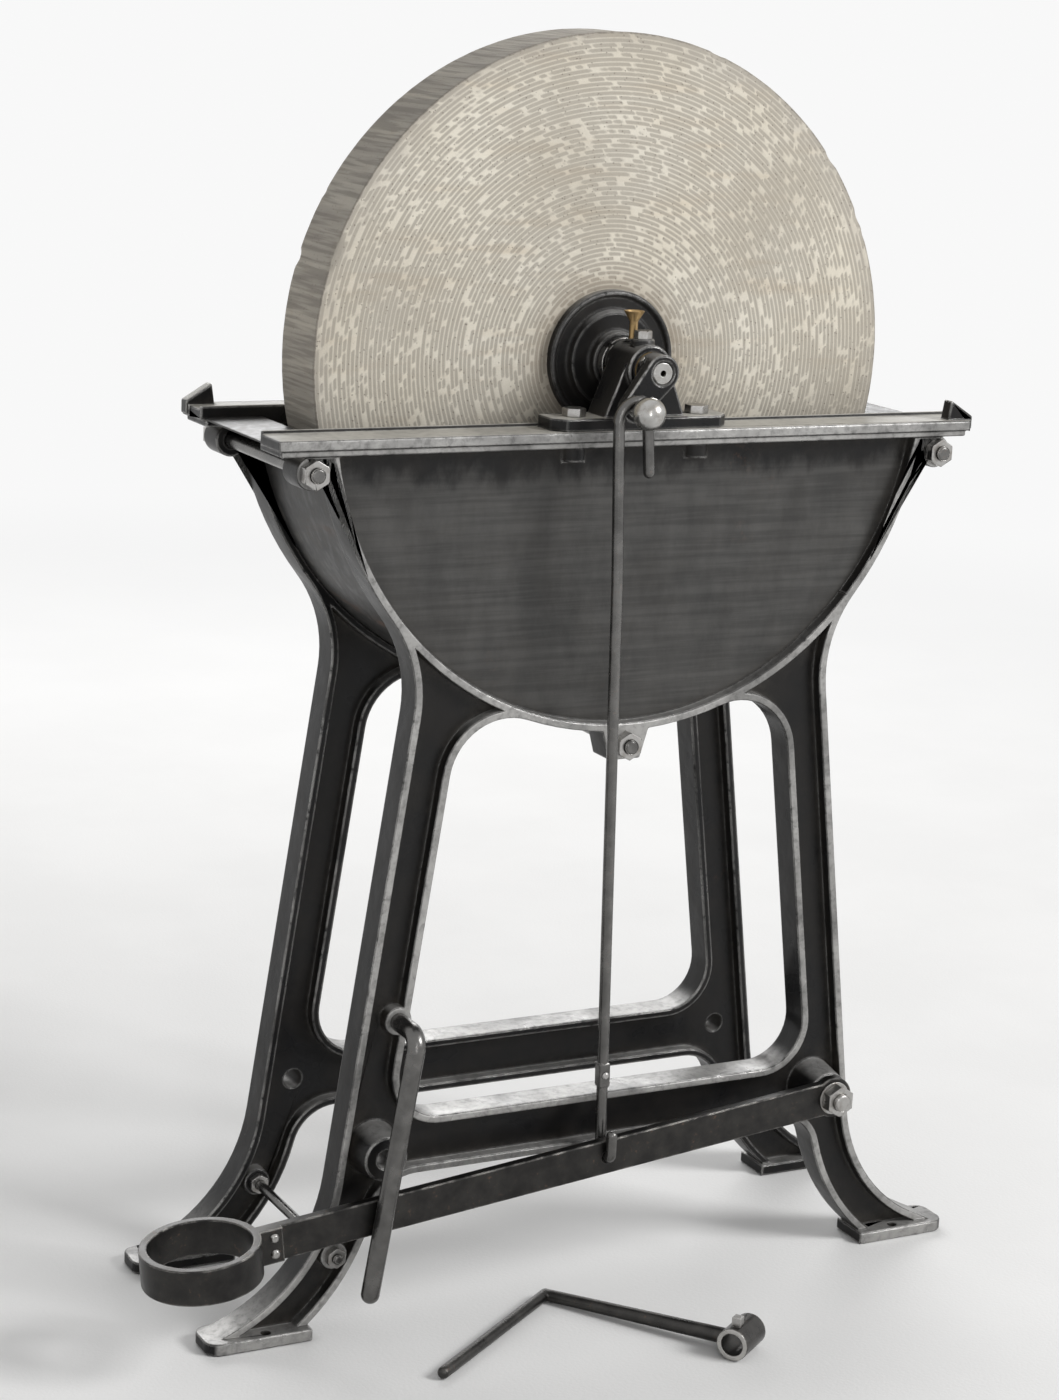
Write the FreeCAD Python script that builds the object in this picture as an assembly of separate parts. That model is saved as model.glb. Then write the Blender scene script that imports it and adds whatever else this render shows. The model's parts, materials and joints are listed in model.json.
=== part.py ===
import FreeCAD, Part

import math
import os

# Treadle grindstone on a pair of cast side frames.
# Millimetres. Z is up, the floor is z = 0, the spindle runs along Y and the treadle side is at -Y.
# The origin is the middle of the rectangle formed by the four floor screw holes.

# Grindstone
stone_diameter = 610.0
stone_thickness = 76.0
stone_edge_chamfer = 2.0
stone_packing_thickness = 7.0
spindle_height = 925.0

# Side frame section
frame_outset = 15.0
flange_depth = 33.0
flange_thickness = 8.0
web_thickness = 8.0

# Side frame outline
leg_leaves_rib_deg = 38.2
waist_radius = 125.0
leg_splay_deg = 7.9
leg_width = 48.0
foot_curve_radius = 168.0
foot_curve_start_z = 150.0
foot_width = 46.0
toe_slope_deg = 26.0
toe_reach = 13.2
foot_plate_length = 106.0
foot_plate_thickness = 12.0
foot_plate_overhang = 9.0
foot_corner_radius = 14.0
foot_screw_setback = 61.0
foot_screw_inset = 10.0
foot_screw_hole_diameter = 9.0
window_top_radius = 60.0
window_bottom_radius = 45.0
window_bottom_z = 208.0
arch_top_z = 152.0
arch_corner_radius = 45.0

# Top rail of the side frame
rail_end_reach = 50.0
rail_thickness = 10.0
rail_overhang = 6.0
rail_width = 46.0
rail_moulding_height = 6.0
rail_moulding_setback = 3.0
rail_bead_width = 4.0
rail_bead_height = 3.0
ledge_width = 7.0
ear_length = 26.0
ear_height = 20.0
ear_thickness = 14.0
ear_setback = 2.0

# Trough
trough_drop = 29.0
stone_to_trough = 4.7
sheet_thickness = 2.0
sheet_gap = 0.3
lip_setback = 4.0

# Tie rods and brace rod
tie_rod_diameter = 14.0
tie_lug_reach = 15.0
tie_lug_drop = 31.0
tie_lug_radius = 16.0
bottom_tie_drop = 13.0
bottom_lug_top_width = 52.0
bottom_lug_low_width = 34.0
bottom_lug_drop = 15.0
tie_nut_across_flats = 24.0
tie_nut_thickness = 11.0
tie_rod_stand_out = 4.0
brace_rod_diameter = 10.0
brace_z = 80.0
brace_boss_radius = 14.0
brace_nut_across_flats = 18.0
brace_nut_thickness = 8.0
rod_hole_clearance = 0.25

# Spindle
spindle_middle_diameter = 30.0
spindle_journal_diameter = 25.0
spindle_end_diameter = 22.0
spindle_shoulder_gap = 1.0
spindle_end_play = 2.0
spindle_rear_stand_out = 38.0
spindle_journal_stand_out = 1.5
spindle_centre_hole_diameter = 6.0
spindle_centre_hole_depth = 8.0
spindle_end_chamfer = 1.5
sliding_clearance = 0.05

# Stone flanges and lock rings
stone_flange_diameter = 132.0
stone_flange_bead = 10.0
stone_flange_recess = 6.0
stone_flange_rim_width = 7.0
stone_flange_step_width = 13.0
stone_flange_disc_height = 14.0
stone_flange_hub_wall = 13.0
stone_flange_hub_height = 24.0
lock_ring_width = 9.0
lock_ring_thickness = 9.0
lock_ring_notch_width = 5.0
lock_ring_notch_depth = 3.0

# Bearings
bearing_centre_height = 57.0
bearing_base_length = 188.0
bearing_base_width = 38.0
bearing_base_thickness = 12.0
bearing_base_corner_cut = 12.0
bearing_boss_length = 48.0
bearing_boss_wall = 6.5
bearing_bush_wall = 4.0
bearing_pedestal_foot_width = 86.0
bearing_bolt_end_distance = 28.0
bearing_bolt_diameter = 12.0
bearing_bolt_hole_clearance = 0.5
bearing_bolt_across_flats = 20.0
bearing_bolt_head_height = 8.0
bearing_bolt_reach = 16.0
bearing_bolt_pad_radius = 12.0
oil_plug_offset = 6.0
oil_cup_offset = 13.0
plug_seat_radius = 11.0
plug_seat_height = 4.0
plug_diameter = 8.0
plug_across_flats = 15.0
plug_head_height = 8.0
cup_seat_wall = 3.0
cup_stem_diameter = 8.0
cup_stem_height = 18.0
cup_rim_radius = 10.0
cup_flare_height = 10.0
cup_wall = 1.5
oil_hole_diameter = 4.0

# Crank and crank pin
crank_throw = 43.0
crank_rest_deg = 230.0
crank_hub_clearance = 2.0
crank_hub_wall = 6.0
crank_hub_length = 22.0
crank_arm_thickness = 12.0
crank_pin_boss_wall = 6.0
crank_pin_shank_diameter = 14.0
crank_pin_neck_diameter = 7.0
crank_ball_diameter = 31.0
crank_ball_beyond_hook = 20.0
crank_taper_pin_diameter = 6.0
crank_taper_pin_stand_out = 1.5

# Connecting rod
rod_diameter = 11.0
rod_face_gap = 0.5
rod_straight_drop = 150.0
hook_top_gap = 0.2
hook_tail_gap = 0.6
hook_tail_lean_deg = 5.0
hook_stem_turn = 20.0
hook_tail_length = 58.0
rod_eye_bend_radius = 6.0
rod_tip_height = 24.0
lap_height = 82.4
lap_length = 26.0
lap_width = 12.0
rod_rivet_diameter = 4.0
rod_rivet_head_radius = 4.0
rod_rivet_head_height = 1.6

# Treadle
pivot_from_leg_edge = 11.4
pivot_z = 181.0
pivot_boss_stand_out = 23.0
pivot_boss_wall = 13.0
pivot_boss_taper = 5.0
treadle_slope_deg = 5.9
treadle_bar_height = 35.0
treadle_bar_thickness = 10.0
treadle_eye_wall = 12.0
treadle_rod_hole_distance = 262.0
treadle_rod_hole_clearance = 0.3
loop_beyond_toe = 18.0
loop_outer_radius = 57.0
loop_band_thickness = 8.0
loop_lap_length = 22.0
loop_lap_thickness = 4.0
loop_rivet_diameter = 6.0
loop_rivet_spacing = 16.0
loop_rivet_end_distance = 9.0
loop_rivet_head_width = 2.0
loop_rivet_head_height = 2.5
pivot_bolt_diameter = 18.0
pivot_bolt_across_flats = 28.0
pivot_bolt_head_height = 10.0
pivot_nut_thickness = 12.0
pivot_bolt_stand_out = 5.0
pivot_washer_width = 8.0
pivot_inner_washer = 1.0
pivot_outer_washer = 2.0

# Treadle guide rod
guide_rod_diameter = 18.0
guide_from_leg_edge = 11.25
guide_z = 309.0
guide_lean_deg = 9.0
guide_foot_z = 56.0
guide_boss_radius = 14.0
guide_bend_radius = 16.0
guide_gap_to_bar = 1.5
guide_thread_diameter = 12.0
guide_thread_stand_out = 3.0
guide_nut_across_flats = 20.0
guide_nut_thickness = 10.0

# Hand crank, lying loose on the floor in front of the frame
hand_crank_hub_x = 60.0
hand_crank_hub_y = -296.0
hand_crank_turn_deg = 35.0
hand_crank_hub_wall = 5.0
hand_crank_hub_length = 44.0
hand_crank_arm_length = 212.0
hand_crank_arm_root_radius = 8.0
hand_crank_arm_root_drop = 3.0
hand_crank_rod_radius = 6.0
hand_crank_handle_length = 205.0
set_screw_diameter = 8.0
set_screw_head_width = 9.0
set_screw_head_height = 9.0
set_screw_head_gap = 1.0


def shifted(point, direction, distance):
    return (point[0] + direction[0] * distance, point[1] + direction[1] * distance)


# Radii and heights that follow from the sizes above
stone_radius = stone_diameter / 2
stone_bore_radius = spindle_middle_diameter / 2 + stone_packing_thickness
trough_inner_radius = stone_radius + stone_to_trough
trough_outer_radius = trough_inner_radius + sheet_thickness
rib_radius = trough_outer_radius + sheet_gap + flange_thickness
trough_centre_z = spindle_height - trough_drop
rail_top_z = spindle_height - bearing_centre_height
rail_bottom_z = rail_top_z - rail_thickness
moulding_bottom_z = rail_bottom_z - rail_moulding_height
rail_half_length = rib_radius + rail_end_reach
lip_outer_x = rail_half_length - lip_setback
tie_lug_x = rib_radius + tie_lug_reach
tie_lug_z = rail_top_z - tie_lug_drop
bottom_tie_z = trough_centre_z - rib_radius - bottom_tie_drop
bearing_bush_radius = spindle_journal_diameter / 2 + bearing_bush_wall
bearing_boss_radius = bearing_bush_radius + bearing_boss_wall
bearing_bolt_x = bearing_base_length / 2 - bearing_bolt_end_distance

# Leg lines in the XZ plane, on the x > 0 side
splay = math.radians(leg_splay_deg)
leave_angle = math.radians(leg_leaves_rib_deg)
toe_angle = math.radians(toe_slope_deg)
leg_down = (math.sin(splay), -math.cos(splay))
leg_out = (math.cos(splay), math.sin(splay))
rib_out = (math.cos(leave_angle), -math.sin(leave_angle))
toe_normal = (math.sin(toe_angle), math.cos(toe_angle))
toe_run = (math.cos(toe_angle), -math.sin(toe_angle))
leg_leaves_rib = shifted((0, trough_centre_z), rib_out, rib_radius)
waist_centre = shifted(leg_leaves_rib, rib_out, waist_radius)
leg_top = shifted(waist_centre, leg_out, -waist_radius)
leg_foot = shifted(leg_top, leg_down, (leg_top[1] - foot_curve_start_z) / -leg_down[1])
foot_centre = shifted(leg_foot, leg_out, foot_curve_radius)
toe_start = shifted(foot_centre, toe_normal, -foot_curve_radius)
toe_top_z = foot_plate_thickness - 1
toe_tip = shifted(toe_start, toe_run, (toe_start[1] - toe_top_z) / -toe_run[1])
foot_end_x = toe_tip[0] + toe_reach
foot_plate_inner_x = foot_end_x - foot_plate_length
foot_screw_x = foot_end_x - foot_screw_setback
foot_middle_radius = foot_curve_radius + foot_width / 2
brace_x = foot_centre[0] - math.sqrt(foot_middle_radius**2 - (foot_centre[1] - brace_z) ** 2)


def leg_inner_x(z):
    """X of the inner edge of the straight part of the leg at height z."""
    return leg_top[0] + (leg_top[1] - z) * math.tan(splay) - leg_width / math.cos(splay)


# Layers along Y, from the stone outwards
stone_face_y = stone_thickness / 2
spindle_middle_half_length = stone_face_y + stone_flange_hub_height + lock_ring_thickness + spindle_shoulder_gap
bearing_inner_y = spindle_middle_half_length + spindle_end_play
bearing_y = bearing_inner_y + bearing_boss_length / 2
bearing_outer_y = bearing_inner_y + bearing_boss_length
oil_plug_y = bearing_y + oil_plug_offset
oil_cup_y = bearing_y - oil_cup_offset
frame_face_y = bearing_y + frame_outset
frame_inner_y = frame_face_y - flange_depth
web_outer_y = frame_face_y - (flange_depth - web_thickness) / 2
web_inner_y = web_outer_y - web_thickness
rail_outer_y = frame_face_y + rail_overhang
rail_inner_y = rail_outer_y - rail_width
foot_plate_outer_y = frame_face_y + foot_plate_overhang
foot_screw_y = foot_plate_outer_y - foot_screw_inset
crank_hub_inner_y = bearing_outer_y + crank_hub_clearance
crank_face_y = crank_hub_inner_y + crank_hub_length
spindle_rear_end_y = bearing_outer_y + spindle_rear_stand_out
pivot_boss_end_y = frame_face_y + pivot_boss_stand_out
bar_inner_y = pivot_boss_end_y + pivot_inner_washer
bar_outer_y = bar_inner_y + treadle_bar_thickness
bar_middle_y = (bar_inner_y + bar_outer_y) / 2

# Crank, rod, treadle and guide places
crank_hub_radius = spindle_end_diameter / 2 + crank_hub_wall
crank_pin_boss_radius = crank_pin_shank_diameter / 2 + crank_pin_boss_wall
crank_pin_x = crank_throw * math.cos(math.radians(crank_rest_deg))
crank_pin_z = spindle_height + crank_throw * math.sin(math.radians(crank_rest_deg))
rod_radius = rod_diameter / 2
hook_y = -(crank_face_y + rod_face_gap + rod_radius)
ball_y = hook_y - crank_ball_beyond_hook
pivot_x = leg_inner_x(pivot_z) + pivot_from_leg_edge
pivot_boss_radius = pivot_bolt_diameter / 2 + pivot_boss_wall
slope = math.radians(treadle_slope_deg)
rod_hole_x = pivot_x - treadle_rod_hole_distance * math.cos(slope)
rod_hole_z = pivot_z - treadle_rod_hole_distance * math.sin(slope)
loop_distance = (pivot_x + foot_end_x + loop_beyond_toe) / math.cos(slope)
guide_x = leg_inner_x(guide_z) + guide_from_leg_edge
guide_foot_x = guide_x + (guide_z - guide_foot_z) * math.tan(math.radians(guide_lean_deg))
hand_crank_hub_radius = spindle_end_diameter / 2 + hand_crank_hub_wall


def vec(x, y, z):
    return FreeCAD.Vector(x, y, z)


def box(x0, x1, y0, y1, z0, z1):
    return Part.makeBox(x1 - x0, y1 - y0, z1 - z0, vec(x0, y0, z0))


def rod_y(radius, x, y0, y1, z):
    return Part.makeCylinder(radius, y1 - y0, vec(x, y0, z), vec(0, 1, 0))


def rod_z(radius, x, y, z0, z1):
    return Part.makeCylinder(radius, z1 - z0, vec(x, y, z0), vec(0, 0, 1))


def hexagon(across_flats, height, base, direction):
    corner_radius = across_flats / math.sqrt(3)
    points = []
    for step in range(7):
        angle = math.radians(60 * step + 30)
        points.append(vec(corner_radius * math.cos(angle), corner_radius * math.sin(angle), 0))
    body = Part.Face(Part.makePolygon(points)).extrude(vec(0, 0, height))
    crown = Part.makeCone(
        corner_radius + 0.6 * height - 0.6, corner_radius - 0.6, height, vec(0, 0, 0), vec(0, 0, 1)
    )
    body = body.common(crown)
    body.Placement = FreeCAD.Placement(base, FreeCAD.Rotation(vec(0, 0, 1), direction))
    return body


def line(a, b):
    return Part.LineSegment(vec(a[0], 0, a[1]), vec(b[0], 0, b[1])).toShape()


def arc(centre, radius, start, end):
    """Arc in the XZ plane from point start to point end, the short way round."""
    first = math.atan2(start[1] - centre[1], start[0] - centre[0])
    turn = math.atan2(end[1] - centre[1], end[0] - centre[0]) - first
    turn = (turn + math.pi) % (2 * math.pi) - math.pi
    middle = first + turn / 2
    through = vec(centre[0] + radius * math.cos(middle), 0, centre[1] + radius * math.sin(middle))
    return Part.Arc(vec(start[0], 0, start[1]), through, vec(end[0], 0, end[1])).toShape()


def plate(edges, y0, y1):
    """Extrude the closed chain of XZ edges from y0 to y1."""
    face = Part.Face(Part.Wire(Part.__sortEdges__(edges)))
    solid = face.extrude(vec(0, y1 - y0, 0))
    solid.translate(vec(0, y0, 0))
    return solid


def both_halves(edges):
    mirrored = [edge.mirror(vec(0, 0, 0), vec(1, 0, 0)) for edge in edges]
    return edges + mirrored


def outline_edges(inset, top_z):
    """Outer boundary of one side frame, moved inwards by inset."""
    rib = rib_radius - inset
    rib_centre = (0, trough_centre_z)
    top = (math.sqrt(rib**2 - (top_z - trough_centre_z) ** 2), top_z)
    turn = shifted(leg_leaves_rib, rib_out, -inset)
    waist_end = shifted(leg_top, leg_out, -inset)
    outer_foot = foot_curve_radius + inset
    inner_foot = foot_curve_radius + foot_width - inset
    foot_start = shifted(foot_centre, leg_out, -outer_foot)
    toe_bend = shifted(foot_centre, toe_normal, -outer_foot)
    toe_end = shifted(toe_bend, toe_run, (toe_bend[1] - toe_top_z) / -toe_run[1])
    low = 1.0
    heel = (foot_centre[0] - math.sqrt(inner_foot**2 - (foot_centre[1] - low) ** 2), low)
    corner = arch_corner_radius + inset
    corner_z = arch_top_z - arch_corner_radius
    reach = foot_curve_radius + foot_width + arch_corner_radius
    corner_x = foot_centre[0] - math.sqrt(reach**2 - (foot_centre[1] - corner_z) ** 2)
    meet = shifted(
        foot_centre,
        ((corner_x - foot_centre[0]) / reach, (corner_z - foot_centre[1]) / reach),
        inner_foot,
    )
    arch_z = arch_top_z + inset
    half = [
        line((0, top_z), top),
        arc(rib_centre, rib, top, turn),
        arc(waist_centre, waist_radius + inset, turn, waist_end),
        line(waist_end, foot_start),
        arc(foot_centre, outer_foot, foot_start, toe_bend),
        line(toe_bend, toe_end),
        line(toe_end, (toe_end[0], low)),
        line((toe_end[0], low), heel),
        arc(foot_centre, inner_foot, heel, meet),
        arc((corner_x, corner_z), corner, meet, (corner_x, arch_z)),
        line((corner_x, arch_z), (0, arch_z)),
    ]
    return both_halves(half)


def window_edges(grow):
    """Boundary of the opening between the legs, moved outwards by grow."""
    inner_point = shifted(leg_top, leg_out, -leg_width)
    rib_centre = (0, trough_centre_z)
    base = shifted(inner_point, leg_out, -window_top_radius)
    offset = (base[0], base[1] - trough_centre_z)
    reach = rib_radius + window_top_radius
    half_b = offset[0] * leg_down[0] + offset[1] * leg_down[1]
    rest = offset[0] ** 2 + offset[1] ** 2 - reach**2
    along = -half_b + math.sqrt(half_b**2 - rest)
    top_centre = shifted(base, leg_down, along)
    to_top = (top_centre[0] / reach, (top_centre[1] - trough_centre_z) / reach)
    rib = rib_radius - grow
    rib_meet = shifted(rib_centre, to_top, rib)
    leg_meet = shifted(top_centre, leg_out, window_top_radius + grow)
    low_base = shifted(inner_point, leg_out, -window_bottom_radius)
    low_z = window_bottom_z + window_bottom_radius
    low_centre = shifted(low_base, leg_down, (low_base[1] - low_z) / -leg_down[1])
    low_meet = shifted(low_centre, leg_out, window_bottom_radius + grow)
    sill_z = window_bottom_z - grow
    half = [
        arc(rib_centre, rib, (0, trough_centre_z - rib), rib_meet),
        arc(top_centre, window_top_radius + grow, rib_meet, leg_meet),
        line(leg_meet, low_meet),
        arc(low_centre, window_bottom_radius + grow, low_meet, (low_centre[0], sill_z)),
        line((low_centre[0], sill_z), (0, sill_z)),
    ]
    return both_halves(half)


def frame_flanges():
    """Raised edges all round the outline and the window, and the rib under the trough."""
    top_z = rail_bottom_z
    deep = (-frame_face_y, -frame_inner_y)
    rim = plate(outline_edges(0, top_z), *deep).cut(plate(outline_edges(flange_thickness, top_z), *deep))
    sill = plate(window_edges(flange_thickness), *deep)
    rib = rod_y(rib_radius, 0, deep[0], deep[1], trough_centre_z)
    rib = rib.cut(rod_y(rib_radius - flange_thickness, 0, deep[0], deep[1], trough_centre_z))
    side_x, top_rib_z = leg_leaves_rib
    rib = rib.common(box(-side_x, side_x, deep[0], deep[1], 0, top_rib_z))
    whole = rim.fuse([sill, rib]).common(plate(outline_edges(0, top_z), *deep))
    return whole.cut(plate(window_edges(0), *deep))


def frame_feet():
    """Flat foot plates with rounded toes; their screw holes are cut later."""
    feet = []
    y0 = -foot_plate_outer_y
    y1 = -(frame_inner_y - foot_plate_overhang / 2)
    for side in (-1, 1):
        x0, x1 = sorted((side * foot_plate_inner_x, side * foot_end_x))
        foot = box(x0, x1, y0, y1, 0, foot_plate_thickness)
        toe_edges = []
        for edge in foot.Edges:
            middle = edge.CenterOfMass
            upright = abs(middle.z - foot_plate_thickness / 2) < 0.01
            if upright and abs(abs(middle.x) - foot_end_x) < 0.01:
                toe_edges.append(edge)
        feet.append(foot.makeFillet(foot_corner_radius, toe_edges))
    return feet


def frame_rail():
    """Top rail with its stepped edge, inner bead, end ledges and one upturned ear."""
    y0 = -rail_outer_y
    y1 = -rail_inner_y
    length = rail_half_length
    parts = [box(-length, length, y0, y1, rail_bottom_z, rail_top_z)]
    setback = rail_moulding_setback
    parts.append(box(-length + 3, length - 3, y0 + setback, y1, moulding_bottom_z, rail_bottom_z))
    bead_top = rail_top_z + rail_bead_height
    parts.append(box(-length, length, y1 - rail_bead_width, y1, rail_top_z, bead_top))
    for side in (-1, 1):
        x0, x1 = sorted((side * (rib_radius - 6), side * (length - 3)))
        parts.append(box(x0, x1, y1, y1 + ledge_width, moulding_bottom_z, rail_bottom_z))
    ear = [
        line((length - ear_length, rail_top_z), (length - ear_length + 3, rail_top_z + ear_height)),
        line((length - ear_length + 3, rail_top_z + ear_height), (length + 3, rail_top_z + 4)),
        line((length + 3, rail_top_z + 4), (length + 3, rail_bottom_z + 1)),
        line((length + 3, rail_bottom_z + 1), (length - ear_length, rail_bottom_z + 1)),
        line((length - ear_length, rail_bottom_z + 1), (length - ear_length, rail_top_z)),
    ]
    parts.append(plate(ear, y0 + ear_setback, y0 + ear_setback + ear_thickness))
    return parts


def frame_lugs():
    deep = (-frame_face_y, -frame_inner_y)
    lugs = []
    for side in (-1, 1):
        lugs.append(rod_y(tie_lug_radius, side * tie_lug_x, deep[0], deep[1], tie_lug_z))
        x0, x1 = sorted((side * (rib_radius - flange_thickness / 2), side * tie_lug_x))
        lugs.append(box(x0, x1, deep[0], deep[1], tie_lug_z, rail_bottom_z))
    top_z = trough_centre_z - rib_radius + flange_thickness / 2
    low_z = bottom_tie_z - bottom_lug_drop
    wide = bottom_lug_top_width / 2
    narrow = bottom_lug_low_width / 2
    low = [
        line((-wide, top_z), (wide, top_z)),
        line((wide, top_z), (narrow, low_z)),
        line((narrow, low_z), (-narrow, low_z)),
        line((-narrow, low_z), (-wide, top_z)),
    ]
    lugs.append(plate(low, *deep))
    return lugs


def frame_bosses():
    """Pivot bosses at both lower corners and the bolt pads under the bearing."""
    bosses = []
    length = pivot_boss_end_y - web_outer_y
    foot_radius = pivot_boss_radius + pivot_boss_taper
    for side in (-1, 1):
        foot = vec(side * pivot_x, -web_outer_y, pivot_z)
        bosses.append(Part.makeCone(foot_radius, pivot_boss_radius, length, foot, vec(0, -1, 0)))
        pad_z = rail_bottom_z - bearing_bolt_reach - 4
        bosses.append(
            rod_z(bearing_bolt_pad_radius, side * bearing_bolt_x, -bearing_y, pad_z, rail_bottom_z)
        )
    return bosses


def frame_holes(brace_side, has_guide):
    far = frame_face_y + 40
    near = frame_inner_y - 20
    holes = []
    tie = tie_rod_diameter / 2 + rod_hole_clearance
    for x, z in ((-tie_lug_x, tie_lug_z), (tie_lug_x, tie_lug_z), (0, bottom_tie_z)):
        holes.append(rod_y(tie, x, -far, -near, z))
    brace = brace_rod_diameter / 2 + rod_hole_clearance
    holes.append(rod_y(brace, brace_side * brace_x, -far, -near, brace_z))
    for side in (-1, 1):
        pivot = pivot_bolt_diameter / 2 + rod_hole_clearance
        holes.append(rod_y(pivot, side * pivot_x, -far, -near, pivot_z))
        screw = foot_screw_hole_diameter / 2
        holes.append(rod_z(screw, side * foot_screw_x, -foot_screw_y, -1, foot_plate_thickness + 8))
        bolt = bearing_bolt_diameter / 2 + sliding_clearance
        bottom = rail_bottom_z - bearing_bolt_reach
        holes.append(rod_z(bolt, side * bearing_bolt_x, -bearing_y, bottom, rail_top_z + 1))
    if has_guide:
        guide = guide_thread_diameter / 2 + rod_hole_clearance
        holes.append(rod_y(guide, -guide_x, -far, -near, guide_z))
    return holes


def side_frame(brace_side, has_guide):
    """One casting in the front position. brace_side says which leg carries the brace rod."""
    web = plate(outline_edges(0, rail_bottom_z), -web_outer_y, -web_inner_y)
    web = web.cut(plate(window_edges(0), -frame_face_y, -frame_inner_y))
    deep = (-frame_face_y, -frame_inner_y)
    parts = [frame_flanges()] + frame_feet() + frame_rail() + frame_lugs() + frame_bosses()
    parts.append(rod_y(brace_boss_radius, brace_side * brace_x, deep[0], deep[1], brace_z))
    if has_guide:
        parts.append(rod_y(guide_boss_radius, -guide_x, deep[0], deep[1], guide_z))
    body = web.fuse(parts)
    body = body.cut(frame_holes(brace_side, has_guide))
    return body.removeSplitter()


def trough():
    """Half-round sheet between the side frames with a flat lip at each end."""
    outer = trough_outer_radius
    inner = trough_inner_radius
    shell = rod_y(outer, 0, -web_inner_y, web_inner_y, trough_centre_z)
    shell = shell.cut(rod_y(inner, 0, -web_inner_y, web_inner_y, trough_centre_z))
    top = moulding_bottom_z - sheet_gap
    low = shell.common(box(-outer, outer, -web_inner_y, web_inner_y, 0, top))
    neck_y = rail_inner_y - ledge_width - sheet_gap
    neck = shell.common(box(-outer, outer, -neck_y, neck_y, top - 1, rail_bottom_z))
    lip_y = rail_inner_y - sheet_gap
    parts = [neck]
    lip_top = rail_bottom_z + sheet_thickness
    inner_x = math.sqrt(inner**2 - (rail_bottom_z - trough_centre_z) ** 2)
    for side in (-1, 1):
        x0, x1 = sorted((side * inner_x, side * lip_outer_x))
        parts.append(box(x0, x1, -lip_y, lip_y, rail_bottom_z, lip_top))
    return low.fuse(parts).removeSplitter()


def threaded_rod(radius, x, z, reach):
    rod = rod_y(radius, x, -reach, reach, z)
    return rod.makeChamfer(1.5, [edge for edge in rod.Edges if len(edge.Vertexes) == 1])


def tie_rod(x, z):
    reach = frame_face_y + tie_nut_thickness + tie_rod_stand_out
    return threaded_rod(tie_rod_diameter / 2, x, z, reach)


def brace_rod():
    reach = frame_face_y + brace_nut_thickness + tie_rod_stand_out
    return threaded_rod(brace_rod_diameter / 2, -brace_x, brace_z, reach)


def nut(across_flats, thickness, bore_diameter, base, direction):
    body = hexagon(across_flats, thickness, base, direction)
    start = base - direction * 1.0
    bore = Part.makeCylinder(bore_diameter / 2 + sliding_clearance, thickness + 2, start, direction)
    return body.cut(bore)


def tie_nuts():
    nuts = []
    for x, z in ((-tie_lug_x, tie_lug_z), (tie_lug_x, tie_lug_z), (0, bottom_tie_z)):
        for side in (-1, 1):
            base = vec(x, side * frame_face_y, z)
            away = vec(0, side, 0)
            nuts.append(nut(tie_nut_across_flats, tie_nut_thickness, tie_rod_diameter, base, away))
    return Part.makeCompound(nuts)


def brace_nuts():
    nuts = []
    for side in (-1, 1):
        for face, way in ((frame_face_y, side), (frame_inner_y, -side)):
            base = vec(-brace_x, side * face, brace_z)
            away = vec(0, way, 0)
            nuts.append(nut(brace_nut_across_flats, brace_nut_thickness, brace_rod_diameter, base, away))
    return Part.makeCompound(nuts)


def spindle():
    middle = spindle_middle_half_length
    journal_end = bearing_outer_y + spindle_journal_stand_out
    shaft = rod_y(spindle_middle_diameter / 2, 0, -middle, middle, spindle_height)
    shaft = shaft.fuse(rod_y(spindle_journal_diameter / 2, 0, -journal_end, journal_end, spindle_height))
    thin = spindle_end_diameter / 2
    front = crank_face_y
    rear = spindle_rear_end_y
    ends = rod_y(thin, 0, -front, rear, spindle_height)
    end_edges = []
    for edge in ends.Edges:
        if len(edge.Vertexes) == 1:
            end_edges.append(edge)
    shaft = shaft.fuse(ends.makeChamfer(spindle_end_chamfer, end_edges))
    small = spindle_centre_hole_diameter / 2
    for y, way in ((-front, 1), (rear, -1)):
        cone = Part.makeCone(small, 0.5, spindle_centre_hole_depth, vec(0, y, spindle_height), vec(0, way, 0))
        shaft = shaft.cut(cone)
    return shaft.cut(crank_taper_pin_hole()).removeSplitter()


def grindstone():
    half = stone_face_y
    cut = stone_edge_chamfer
    radius = stone_radius
    bore = stone_bore_radius
    profile = [
        (bore, -half),
        (radius - cut, -half),
        (radius, -half + cut),
        (radius, half - cut),
        (radius - cut, half),
        (bore, half),
    ]
    return revolve_about_spindle(profile, 1)


def revolve_about_spindle(profile, way):
    """Revolve a closed (radius, y) profile about the spindle axis; way -1 mirrors it in y."""
    points = [vec(r, way * y, spindle_height) for r, y in profile]
    points.append(points[0])
    face = Part.Face(Part.makePolygon(points))
    return face.revolve(vec(0, 0, spindle_height), vec(0, 1, 0), 360)


def packing_bush():
    outer = stone_bore_radius - sliding_clearance
    inner = spindle_middle_diameter / 2 + sliding_clearance
    half = stone_face_y - 0.5
    bush = rod_y(outer, 0, -half, half, spindle_height)
    return bush.cut(rod_y(inner, 0, -half, half, spindle_height))


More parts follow.
